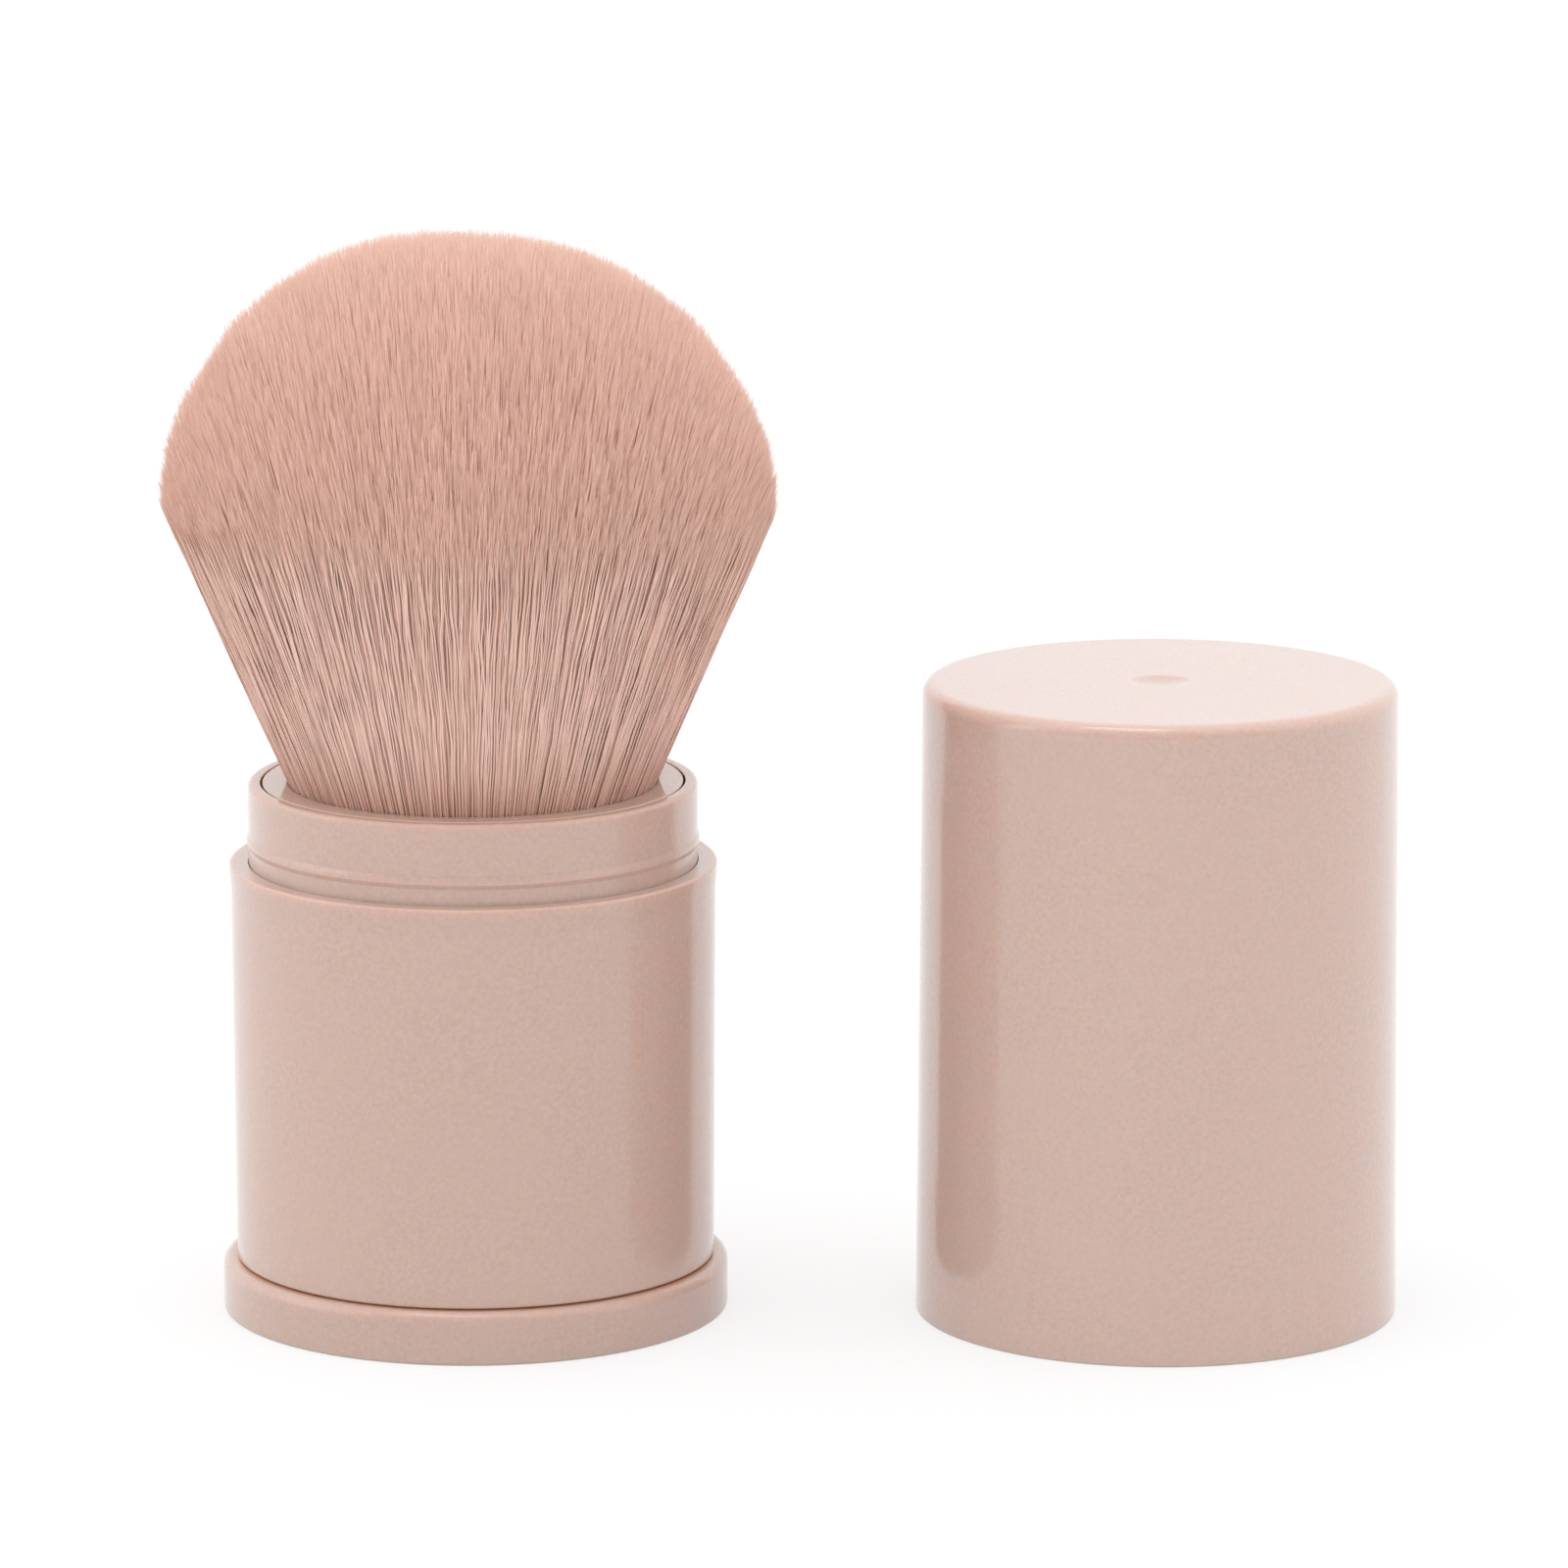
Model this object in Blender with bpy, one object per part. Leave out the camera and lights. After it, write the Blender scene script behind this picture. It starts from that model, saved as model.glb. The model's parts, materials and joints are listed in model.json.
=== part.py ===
"""A retractable makeup brush with its cap taken off and stood beside it.

The brush stands on its base, with Z along its axis and the origin in the middle of the base's
flat foot. The fluffy head is shown all the way up. Turning the base against the barrel turns a
slotted sleeve, which carries the head's cup round. Two lugs on the cup run in helical grooves
inside the neck, so the head sinks into the barrel, and it rises again when the base turns back.
"""

import math

import bmesh
import bpy
from mathutils import Matrix, Vector

# All lengths are in metres and all angles in radians.

# Shared clearances and counts
CLEARANCE = 0.0003
OVERRUN = 0.003
MERGE_DISTANCE = 0.00001
SIDES = 48
ROUND_STEPS = 3
SMOOTH_ANGLE = math.radians(32)

# Barrel: a slightly tapered tube with a floor that holds the drag ring
BARREL_RADIUS = 0.02105
BARREL_DRAFT = 0.0002
BARREL_WALL = 0.00125
BARREL_HEIGHT = 0.0348
BARREL_FOOT_ROUND = 0.0003
BARREL_RIM_ROUND = 0.0003
SEAT_WALL = 0.0006

# Turning base: a shallow cup, wider than the barrel
KNOB_STEP = 0.0012
KNOB_HEIGHT = 0.0044
KNOB_WALL = 0.0018
KNOB_FLOOR = 0.0012
KNOB_FOOT_ROUND = 0.00025
KNOB_RIM_ROUND = 0.0009
KNOB_INNER_ROUND = 0.0002

# Insert glued into the base, with the socket that holds the slotted sleeve
INSERT_FLOOR = 0.0008
SOCKET_WALL = 0.00105
SOCKET_DROP = 0.0002

# Neck: the collar round the head, with the bead that the cap snaps over
NECK_WALL = 0.00106
NECK_STANDOUT = 0.0072
NECK_RIM_ROUND = 0.0004
BEAD_HEIGHT = 0.00022
BEAD_START = 0.0016
BEAD_WIDTH = 0.0011

# Helical grooves inside the neck: the base turns this far to move the head all the way
TWIST_TURNS = 1.25
GROOVE_SKIN = 0.00035
GROOVE_PLAY = 0.00035

# Slotted sleeve, fixed to the base, that turns the head's cup
SLEEVE_RUNNING_GAP = 0.00038
SLEEVE_WALL = 0.001
FLANGE_THICKNESS = 0.0008
SLOT_FLOOR_MARGIN = 0.0001

# Glide washer under the sleeve's flange, and the drag ring that makes the twist stay put
WASHER_THICKNESS = 0.0005
DRAG_RING_SECTION_RADIUS = 0.0003
DRAG_RING_SIDES = 6
DRAG_GROOVE_WALL = 0.00045

# Ring that closes the slotted sleeve's top, round the bristles
RING_HEIGHT = 0.0017
RING_HEAD_GAP = 0.00053
RING_INNER_ROUND = 0.0006
RING_OUTER_ROUND = 0.0003

# Cup that carries the head, with its two lugs
CUP_RUNNING_GAP = 0.00036
CUP_WALL = 0.0007
CUP_FLOOR = 0.0015
CUP_HEIGHT = 0.0131
LUG_RADIUS = 0.0012
LUG_HEIGHT = 0.0062
LUG_TIP_GAP = 0.0004
LUG_SIDES = 16

# Ferrule band, resin plug and the slice of bound bristles above it
FERRULE_THICKNESS = 0.0003
KNOT_SLICE = 0.001
KNOT_ROUND = 0.0004

# Bristle head: a fan of strands that ends on a dome
STRANDS_ACROSS = 19
STRAND_SPACING = 0.0003
STRAND_TIP_SHARE = 0.88
STRAND_SWIRL = 0.5
HEAD_MARGIN = 0.00005
HEAD_RADIUS = 0.02657
HEAD_WIDEST_HEIGHT = 0.0282
HEAD_DOME_HEIGHT = 0.0213
HEAD_EDGE_DROP = 0.0021

# Cap, and its place beside the brush
CAP_HEIGHT = 0.0557
CAP_PLAY = 0.0004
CAP_WALL = 0.0011
CAP_DRAFT = 0.00045
CAP_ROOF = 0.0014
CAP_TOP_ROUND = 0.0011
CAP_INNER_ROUND = 0.0015
CAP_MOUTH_ROUND = 0.0002
CAP_SNAP_DEPTH = 0.0002
CAP_DIMPLE_RADIUS = 0.0025
CAP_DIMPLE_DEPTH = 0.0002
CAP_ASIDE = 0.05952
CAP_FORWARD = 0.0015

# Radii that follow, from the barrel's outside inwards
BARREL_FOOT_RADIUS = BARREL_RADIUS - BARREL_DRAFT
BARREL_BORE_RADIUS = BARREL_RADIUS - BARREL_WALL
SEAT_BORE_RADIUS = BARREL_BORE_RADIUS - SEAT_WALL
KNOB_RADIUS = BARREL_FOOT_RADIUS + KNOB_STEP
KNOB_BORE_RADIUS = KNOB_RADIUS - KNOB_WALL
NECK_RADIUS = BARREL_BORE_RADIUS - CLEARANCE
NECK_BORE_RADIUS = NECK_RADIUS - NECK_WALL
GROOVE_FLOOR_RADIUS = NECK_RADIUS - GROOVE_SKIN
SLEEVE_RADIUS = NECK_BORE_RADIUS - SLEEVE_RUNNING_GAP
SLEEVE_BORE_RADIUS = SLEEVE_RADIUS - SLEEVE_WALL
SLEEVE_SEAT_RADIUS = SLEEVE_RADIUS + CLEARANCE
FLANGE_RADIUS = SEAT_BORE_RADIUS - CLEARANCE
CUP_RADIUS = SLEEVE_BORE_RADIUS - CUP_RUNNING_GAP
CUP_BORE_RADIUS = CUP_RADIUS - CUP_WALL
LUG_TIP_RADIUS = GROOVE_FLOOR_RADIUS - LUG_TIP_GAP
FERRULE_RADIUS = CUP_BORE_RADIUS - CLEARANCE
FERRULE_BORE_RADIUS = FERRULE_RADIUS - FERRULE_THICKNESS
KNOT_RADIUS = FERRULE_BORE_RADIUS - CLEARANCE

# Heights that follow, from the foot up
INSERT_BOTTOM = KNOB_FLOOR + CLEARANCE
INSERT_TOP = INSERT_BOTTOM + INSERT_FLOOR
SLEEVE_BOTTOM = INSERT_TOP + CLEARANCE
BARREL_BOTTOM = KNOB_HEIGHT + CLEARANCE
BARREL_TOP = BARREL_BOTTOM + BARREL_HEIGHT
DRAG_GROOVE_BOTTOM = BARREL_BOTTOM + DRAG_GROOVE_WALL
DRAG_RING_CENTRE = DRAG_GROOVE_BOTTOM + CLEARANCE + DRAG_RING_SECTION_RADIUS
DRAG_GROOVE_TOP = DRAG_RING_CENTRE + DRAG_RING_SECTION_RADIUS + CLEARANCE
BARREL_FLOOR_TOP = DRAG_GROOVE_TOP + DRAG_GROOVE_WALL
WASHER_BOTTOM = BARREL_FLOOR_TOP + CLEARANCE
WASHER_TOP = WASHER_BOTTOM + WASHER_THICKNESS
FLANGE_BOTTOM = WASHER_TOP + CLEARANCE
FLANGE_TOP = FLANGE_BOTTOM + FLANGE_THICKNESS
SEAT_TOP = FLANGE_TOP
NECK_BOTTOM = SEAT_TOP + CLEARANCE
NECK_TOP = BARREL_TOP + NECK_STANDOUT
RING_TOP = NECK_TOP
RING_BOTTOM = RING_TOP - RING_HEIGHT
SLEEVE_TOP = RING_BOTTOM - CLEARANCE
CUP_TOP = SLEEVE_TOP
CUP_BOTTOM = CUP_TOP - CUP_HEIGHT
KNOT_BOTTOM = CUP_BOTTOM + CUP_FLOOR + CLEARANCE
KNOT_TOP = CUP_TOP
SLICE_BOTTOM = KNOT_TOP - KNOT_SLICE

# Slots, and the head's travel from the lugs' highest place to the slots' ends
SLOT_WIDTH = (LUG_RADIUS + CLEARANCE) * 2
SLOT_BOTTOM = FLANGE_TOP + SLOT_FLOOR_MARGIN
LUG_HIGH = CUP_BOTTOM + LUG_HEIGHT
LUG_LOW = SLOT_BOTTOM + CLEARANCE + LUG_RADIUS
TRAVEL = LUG_HIGH - LUG_LOW
HELIX_LEAD = TRAVEL / TWIST_TURNS
HELIX_ANGLE = math.atan2(HELIX_LEAD, math.tau * GROOVE_FLOOR_RADIUS)

# The strands lie on lines through one point, the fan's apex, below the knot
HEAD_MIDDLE = KNOT_TOP + HEAD_WIDEST_HEIGHT
HEAD_EDGE_SHARE = math.sqrt(1 - (HEAD_EDGE_DROP / HEAD_DOME_HEIGHT) ** 2)
KNOT_EDGE_RADIUS = KNOT_RADIUS - HEAD_MARGIN
HEAD_SPREAD = (HEAD_RADIUS * HEAD_EDGE_SHARE - KNOT_EDGE_RADIUS) / (
    HEAD_WIDEST_HEIGHT - HEAD_EDGE_DROP
)
HEAD_APEX = KNOT_TOP - KNOT_EDGE_RADIUS / HEAD_SPREAD
RING_BORE_RADIUS = (RING_TOP - HEAD_APEX) * HEAD_SPREAD + RING_HEAD_GAP


def linear(red, green, blue):
    """Turn a screen colour from 0 to 255 into linear light."""
    shares = [channel / 255 for channel in (red, green, blue)]
    return tuple(((share + 0.055) / 1.055) ** 2.4 for share in shares) + (1.0,)


def material(name, colour, roughness, metallic=0.0):
    made = bpy.data.materials.new(name)
    made.use_nodes = True
    shader = made.node_tree.nodes["Principled BSDF"]
    shader.inputs["Base Color"].default_value = linear(*colour)
    shader.inputs["Roughness"].default_value = roughness
    shader.inputs["Metallic"].default_value = metallic
    made.diffuse_color = linear(*colour)
    return made


def frame(name, parent=None, place=(0, 0, 0)):
    """Make an empty at the axis of the body that it carries."""
    empty = bpy.data.objects.new(name, None)
    empty.location = place
    empty.parent = parent
    bpy.context.scene.collection.objects.link(empty)
    return empty


def finish(name, shape, look, parent):
    """Turn a bmesh into a named object on its body's frame."""
    mesh = bpy.data.meshes.new(name)
    shape.to_mesh(mesh)
    shape.free()
    mesh.materials.append(look)
    mesh.shade_smooth()
    mesh.set_sharp_from_angle(angle=SMOOTH_ANGLE)
    made = bpy.data.objects.new(name, mesh)
    made.parent = parent
    bpy.context.scene.collection.objects.link(made)
    return made


def cutter(name, shape, parent):
    mesh = bpy.data.meshes.new(name)
    shape.to_mesh(mesh)
    shape.free()
    made = bpy.data.objects.new(name, mesh)
    made.parent = parent
    made.hide_render = True
    made.display_type = "WIRE"
    bpy.context.scene.collection.objects.link(made)
    return made


def combine(target, tool, operation):
    step = target.modifiers.new(operation.lower(), "BOOLEAN")
    step.object = tool
    step.operation = operation
    step.solver = "EXACT"


def rounded(corners):
    """Points of an outline of (radius, height, rounding) corners, each rounded by its own value."""
    points = []
    count = len(corners)
    for index, (radius, height, rounding) in enumerate(corners):
        corner = Vector((radius, height))
        if not rounding:
            points.append(corner)
            continue
        back = Vector(corners[index - 1][:2]) - corner
        ahead = Vector(corners[(index + 1) % count][:2]) - corner
        half_angle = back.angle(ahead) / 2
        reach = min(rounding / math.tan(half_angle), back.length / 2, ahead.length / 2)
        centre = corner + (back.normalized() + ahead.normalized()).normalized() * (
            reach / math.cos(half_angle)
        )
        first = corner + back.normalized() * reach - centre
        last = corner + ahead.normalized() * reach - centre
        for step in range(ROUND_STEPS + 1):
            way = first.normalized().slerp(last.normalized(), step / ROUND_STEPS)
            points.append(centre + way * first.length)
    return points


def turn(points, closed):
    """Spin an outline in the (radius, height) plane once round Z."""
    shape = bmesh.new()
    verts = [shape.verts.new((point.x, 0, point.y)) for point in points]
    edges = [shape.edges.new(pair) for pair in zip(verts, verts[1:])]
    if closed:
        edges.append(shape.edges.new((verts[-1], verts[0])))
    bmesh.ops.spin(
        shape, geom=verts + edges, cent=(0, 0, 0), axis=(0, 0, 1), angle=math.tau, steps=SIDES
    )
    bmesh.ops.remove_doubles(shape, verts=shape.verts[:], dist=MERGE_DISTANCE)
    bmesh.ops.dissolve_degenerate(shape, edges=shape.edges[:], dist=MERGE_DISTANCE)
    bmesh.ops.recalc_face_normals(shape, faces=shape.faces[:])
    return shape


def ring(name, corners, look, parent):
    """A turned piece that is open along its axis."""
    return finish(name, turn(rounded(corners), closed=True), look, parent)


def dish(name, corners, look, parent):
    """A turned piece whose outline starts and ends on the axis."""
    return finish(name, turn(rounded(corners), closed=False), look, parent)


def make_base_knob(look, parent):
    return dish(
        "base_knob",
        [
            (0, 0, 0),
            (KNOB_RADIUS, 0, KNOB_FOOT_ROUND),
            (KNOB_RADIUS, KNOB_HEIGHT, KNOB_RIM_ROUND),
            (KNOB_BORE_RADIUS, KNOB_HEIGHT, KNOB_INNER_ROUND),
            (KNOB_BORE_RADIUS, KNOB_FLOOR, 0),
            (0, KNOB_FLOOR, 0),
        ],
        look,
        parent,
    )


def make_base_insert(look, parent):
    outer = KNOB_BORE_RADIUS - CLEARANCE
    socket = SLEEVE_SEAT_RADIUS + SOCKET_WALL
    top = KNOB_HEIGHT - SOCKET_DROP
    return dish(
        "base_insert",
        [
            (0, INSERT_BOTTOM, 0),
            (outer, INSERT_BOTTOM, 0),
            (outer, INSERT_TOP, 0),
            (socket, INSERT_TOP, 0),
            (socket, top, 0),
            (SLEEVE_SEAT_RADIUS, top, 0),
            (SLEEVE_SEAT_RADIUS, INSERT_TOP, 0),
            (0, INSERT_TOP, 0),
        ],
        look,
        parent,
    )


def make_slotted_sleeve(look, parent):
    sleeve = ring(
        "slotted_sleeve",
        [
            (SLEEVE_RADIUS, SLEEVE_TOP, 0),
            (SLEEVE_RADIUS, FLANGE_TOP, 0),
            (FLANGE_RADIUS, FLANGE_TOP, 0),
            (FLANGE_RADIUS, FLANGE_BOTTOM, 0),
            (SLEEVE_RADIUS, FLANGE_BOTTOM, 0),
            (SLEEVE_RADIUS, SLEEVE_BOTTOM, 0),
            (SLEEVE_BORE_RADIUS, SLEEVE_BOTTOM, 0),
            (SLEEVE_BORE_RADIUS, SLEEVE_TOP, 0),
        ],
        look,
        parent,
    )
    # One box across the sleeve cuts both slots, from above the flange out through the top.
    top = SLEEVE_TOP + OVERRUN
    length = (SLEEVE_RADIUS + OVERRUN) * 2
    shape = bmesh.new()
    bmesh.ops.create_cube(shape, size=1)
    bmesh.ops.scale(shape, vec=(length, SLOT_WIDTH, top - SLOT_BOTTOM), verts=shape.verts[:])
    bmesh.ops.translate(shape, vec=(0, 0, (top + SLOT_BOTTOM) / 2), verts=shape.verts[:])
    combine(sleeve, cutter("slot_cutter", shape, parent), "DIFFERENCE")
    return sleeve


def make_rim_ring(look, parent):
    return ring(
        "rim_ring",
        [
            (SLEEVE_RADIUS, RING_TOP, RING_OUTER_ROUND),
            (SLEEVE_RADIUS, RING_BOTTOM, 0),
            (RING_BORE_RADIUS, RING_BOTTOM, 0),
            (RING_BORE_RADIUS, RING_TOP, RING_INNER_ROUND),
        ],
        look,
        parent,
    )


def make_glide_washer(look, parent):
    return ring(
        "glide_washer",
        [
            (FLANGE_RADIUS, WASHER_TOP, 0),
            (FLANGE_RADIUS, WASHER_BOTTOM, 0),
            (SLEEVE_SEAT_RADIUS, WASHER_BOTTOM, 0),
            (SLEEVE_SEAT_RADIUS, WASHER_TOP, 0),
        ],
        look,
        parent,
    )


def make_drag_ring(look, parent):
    centre = Vector((SLEEVE_SEAT_RADIUS + DRAG_RING_SECTION_RADIUS, DRAG_RING_CENTRE))
    points = []
    for step in range(DRAG_RING_SIDES):
        angle = math.tau * step / DRAG_RING_SIDES
        way = Vector((math.cos(angle), -math.sin(angle)))
        points.append(centre + way * DRAG_RING_SECTION_RADIUS)
    return finish("drag_ring", turn(points, closed=True), look, parent)


def make_barrel_shell(look, parent):
    groove = SLEEVE_SEAT_RADIUS + DRAG_RING_SECTION_RADIUS * 2 + CLEARANCE
    return ring(
        "barrel_shell",
        [
            (BARREL_RADIUS, BARREL_TOP, BARREL_RIM_ROUND),
            (BARREL_FOOT_RADIUS, BARREL_BOTTOM, BARREL_FOOT_ROUND),
            (SLEEVE_SEAT_RADIUS, BARREL_BOTTOM, 0),
            (SLEEVE_SEAT_RADIUS, DRAG_GROOVE_BOTTOM, 0),
            (groove, DRAG_GROOVE_BOTTOM, 0),
            (groove, DRAG_GROOVE_TOP, 0),
            (SLEEVE_SEAT_RADIUS, DRAG_GROOVE_TOP, 0),
            (SLEEVE_SEAT_RADIUS, BARREL_FLOOR_TOP, 0),
            (SEAT_BORE_RADIUS, BARREL_FLOOR_TOP, 0),
            (SEAT_BORE_RADIUS, SEAT_TOP, 0),
            (BARREL_BORE_RADIUS, SEAT_TOP, 0),
            (BARREL_BORE_RADIUS, BARREL_TOP, 0),
        ],
        look,
        parent,
    )


def groove_cutter(parent):
    """Two helical bars, half a turn apart, that the lugs' paths need."""
    half_height = (LUG_RADIUS + GROOVE_PLAY) / math.cos(HELIX_ANGLE)
    lead_in = (LUG_LOW + half_height + OVERRUN - NECK_BOTTOM) / HELIX_LEAD
    start = -math.tau * (TWIST_TURNS + lead_in)
    end = (LUG_RADIUS + GROOVE_PLAY) / GROOVE_FLOOR_RADIUS
    steps = round(SIDES * (end - start) / math.tau)
    inner = NECK_BORE_RADIUS - OVERRUN
    low = LUG_HIGH + HELIX_LEAD * start / math.tau
    shape = bmesh.new()
    for side in (0, math.pi):
        corners = [
            (inner, low - half_height),
            (GROOVE_FLOOR_RADIUS, low - half_height),
            (GROOVE_FLOOR_RADIUS, low + half_height),
            (inner, low + half_height),
        ]
        verts = [
            shape.verts.new((x * math.cos(side + start), x * math.sin(side + start), z))
            for x, z in corners
        ]
        edges = [shape.edges.new((verts[index - 1], verts[index])) for index in range(4)]
        rise = HELIX_LEAD * (end - start) / math.tau / steps
        bmesh.ops.spin(
            shape,
            geom=verts + edges,
            cent=(0, 0, 0),
            axis=(0, 0, 1),
            dvec=(0, 0, rise),
            angle=end - start,
            steps=steps,
        )
    open_edges = [edge for edge in shape.edges if edge.is_boundary]
    bmesh.ops.holes_fill(shape, edges=open_edges, sides=4)
    bmesh.ops.recalc_face_normals(shape, faces=shape.faces[:])
    return cutter("groove_cutter", shape, parent)


def make_neck_sleeve(look, parent):
    bead_bottom = BARREL_TOP + BEAD_START
    bead_top = bead_bottom + BEAD_WIDTH
    bead = NECK_RADIUS + BEAD_HEIGHT
    neck = ring(
        "neck_sleeve",
        [
            (NECK_RADIUS, NECK_TOP, NECK_RIM_ROUND),
            (NECK_RADIUS, bead_top, 0),
            (bead, bead_top - BEAD_HEIGHT, 0),
            (bead, bead_bottom + BEAD_HEIGHT, 0),
            (NECK_RADIUS, bead_bottom, 0),
            (NECK_RADIUS, NECK_BOTTOM, 0),
            (NECK_BORE_RADIUS, NECK_BOTTOM, 0),
            (NECK_BORE_RADIUS, NECK_TOP, 0),
        ],
        look,
        parent,
    )
    combine(neck, groove_cutter(parent), "DIFFERENCE")
    return neck


def make_brush_carrier(look, parent):
    cup = dish(
        "brush_carrier",
        [
            (0, CUP_BOTTOM, 0),
            (CUP_RADIUS, CUP_BOTTOM, 0),
            (CUP_RADIUS, CUP_TOP, 0),
            (CUP_BORE_RADIUS, CUP_TOP, 0),
            (CUP_BORE_RADIUS, CUP_BOTTOM + CUP_FLOOR, 0),
            (0, CUP_BOTTOM + CUP_FLOOR, 0),
        ],
        look,
        parent,
    )
    # Each lug starts in the middle of the cup's wall and reaches into its groove.
    root = CUP_RADIUS - CUP_WALL / 2
    middle = Matrix.Translation(((LUG_TIP_RADIUS + root) / 2, 0, LUG_HIGH))
    lying = Matrix.Rotation(math.pi / 2, 4, "Y")
    shape = bmesh.new()
    for side in (0, math.pi):
        bmesh.ops.create_cone(
            shape,
            cap_ends=True,
            segments=LUG_SIDES,
            radius1=LUG_RADIUS,
            radius2=LUG_RADIUS,
            depth=LUG_TIP_RADIUS - root,
            matrix=Matrix.Rotation(side, 4, "Z") @ middle @ lying,
        )
    combine(cup, cutter("lug_guide", shape, parent), "UNION")
    return cup


def make_ferrule(look, parent):
    return ring(
        "ferrule",
        [
            (FERRULE_RADIUS, KNOT_TOP, 0),
            (FERRULE_RADIUS, KNOT_BOTTOM, 0),
            (FERRULE_BORE_RADIUS, KNOT_BOTTOM, 0),
            (FERRULE_BORE_RADIUS, KNOT_TOP, 0),
        ],
        look,
        parent,
    )


def make_knot_root(look, parent):
    top = SLICE_BOTTOM - CLEARANCE
    return dish(
        "knot_root",
        [
            (0, KNOT_BOTTOM, 0),
            (KNOT_RADIUS, KNOT_BOTTOM, KNOT_ROUND),
            (KNOT_RADIUS, top, 0),
            (0, top, 0),
        ],
        look,
        parent,
    )


def on_disc(u, v):
    """Move a point of the square from -1 to 1 onto the unit disc, ring by ring."""
    if abs(u) >= abs(v):
        reach, angle = u, (math.pi / 4) * (v / u if u else 0)
    else:
        reach, angle = v, math.pi / 2 - (math.pi / 4) * (u / v)
    # A slight swirl, so that no straight gap runs right through the head.
    angle += STRAND_SWIRL * abs(reach)
    return Vector((math.cos(angle), math.sin(angle))) * reach


def on_dome(point):
    """Follow the line from the fan's apex through a point until it meets the dome."""
    flat = Vector((point.x, point.y))
    rise = point.z - HEAD_APEX
    middle = HEAD_MIDDLE - HEAD_APEX
    square = flat.length_squared / HEAD_RADIUS**2 + (rise / HEAD_DOME_HEIGHT) ** 2
    side = rise * middle / HEAD_DOME_HEIGHT**2
    rest = (middle / HEAD_DOME_HEIGHT) ** 2 - 1
    reach = (side + math.sqrt(max(side**2 - square * rest, 0))) / square
    return Vector((flat.x * reach, flat.y * reach, HEAD_APEX + rise * reach))


def make_bristles(look, parent):
    """A round slice whose cells each grow into a four-sided strand."""
    shape = bmesh.new()
    bmesh.ops.create_grid(
        shape, x_segments=STRANDS_ACROSS, y_segments=STRANDS_ACROSS, size=1
    )
    for vert in shape.verts:
        flat = on_disc(vert.co.x, vert.co.y) * KNOT_RADIUS
        vert.co = Vector((flat.x, flat.y, SLICE_BOTTOM))
    floor = shape.faces[:]
    raised = bmesh.ops.extrude_face_region(shape, geom=floor, use_keep_orig=True)["geom"]
    lifted = [item for item in raised if isinstance(item, bmesh.types.BMVert)]
    cells = [item for item in raised if isinstance(item, bmesh.types.BMFace)]
    bmesh.ops.translate(shape, vec=(0, 0, KNOT_SLICE), verts=lifted)
    bmesh.ops.dissolve_faces(shape, faces=floor)
    bmesh.ops.inset_individual(
        shape, faces=cells, thickness=STRAND_SPACING / 2, use_even_offset=True
    )
    for tip in bmesh.ops.extrude_discrete_faces(shape, faces=cells)["faces"]:
        middle = tip.calc_center_median()
        for vert in tip.verts:
            vert.co = on_dome(vert.co.lerp(middle, 1 - STRAND_TIP_SHARE))
    bmesh.ops.recalc_face_normals(shape, faces=shape.faces[:])
    return finish("bristles", shape, look, parent)


def make_cap_shell(look, parent):
    mouth = NECK_RADIUS + CAP_PLAY
    top = mouth - CAP_DRAFT
    snap = mouth + CAP_SNAP_DEPTH
    snap_top = BEAD_START + BEAD_WIDTH
    roof = CAP_HEIGHT - CAP_ROOF
    crown = CAP_HEIGHT - CAP_DIMPLE_DEPTH
    return dish(
        "cap_shell",
        [
            (0, roof, 0),
            (top, roof, CAP_INNER_ROUND),
            (mouth, snap_top, 0),
            (snap, snap_top - CAP_SNAP_DEPTH, 0),
            (snap, BEAD_START + CAP_SNAP_DEPTH, 0),
            (mouth, BEAD_START, 0),
            (mouth, 0, 0),
            (mouth + CAP_WALL, 0, CAP_MOUTH_ROUND),
            (top + CAP_WALL, CAP_HEIGHT, CAP_TOP_ROUND),
            (CAP_DIMPLE_RADIUS, CAP_HEIGHT, 0),
            (CAP_DIMPLE_RADIUS - CAP_DIMPLE_DEPTH, crown, 0),
            (0, crown, 0),
        ],
        look,
        parent,
    )


def main():
    for old in list(bpy.data.objects):
        bpy.data.objects.remove(old, do_unlink=True)

    rose_gloss = material("rose_gloss", (212, 183, 173), 0.16)
    rose_collar = material("rose_collar", (206, 178, 167), 0.3)
    ring_gloss = material("ring_gloss", (212, 193, 185), 0.12)
    white_plastic = material("white_plastic", (226, 222, 216), 0.5)
    white_acetal = material("white_acetal", (236, 235, 231), 0.4)
    aluminium = material("aluminium", (205, 206, 208), 0.3, 1.0)
    resin = material("resin", (222, 206, 170), 0.25)
    silicone = material("silicone", (198, 196, 192), 0.55)
    fibre = material("fibre", (210, 163, 147), 0.7)

    barrel = frame("barrel_axis")
    base = frame("base_twist_axis", barrel)
    carriage = frame("carriage_axis", base)
    cap = frame("cap_axis", barrel, (CAP_ASIDE, -CAP_FORWARD, 0))

    make_barrel_shell(rose_gloss, barrel)
    make_neck_sleeve(rose_collar, barrel)
    make_drag_ring(silicone, barrel)
    make_glide_washer(white_acetal, base)
    make_base_knob(rose_gloss, base)
    make_base_insert(white_plastic, base)
    make_slotted_sleeve(white_acetal, base)
    make_rim_ring(ring_gloss, base)
    make_brush_carrier(white_plastic, carriage)
    make_ferrule(aluminium, carriage)
    make_knot_root(resin, carriage)
    make_bristles(fibre, carriage)
    make_cap_shell(rose_gloss, cap)
    bpy.context.view_layer.update()


main()
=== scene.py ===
"""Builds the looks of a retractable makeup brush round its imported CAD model.

The open brush stands on its base with its head up, and its cap stands mouth-down beside it.
All lengths are in metres.
"""

import json
import math
from functools import partial

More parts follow.
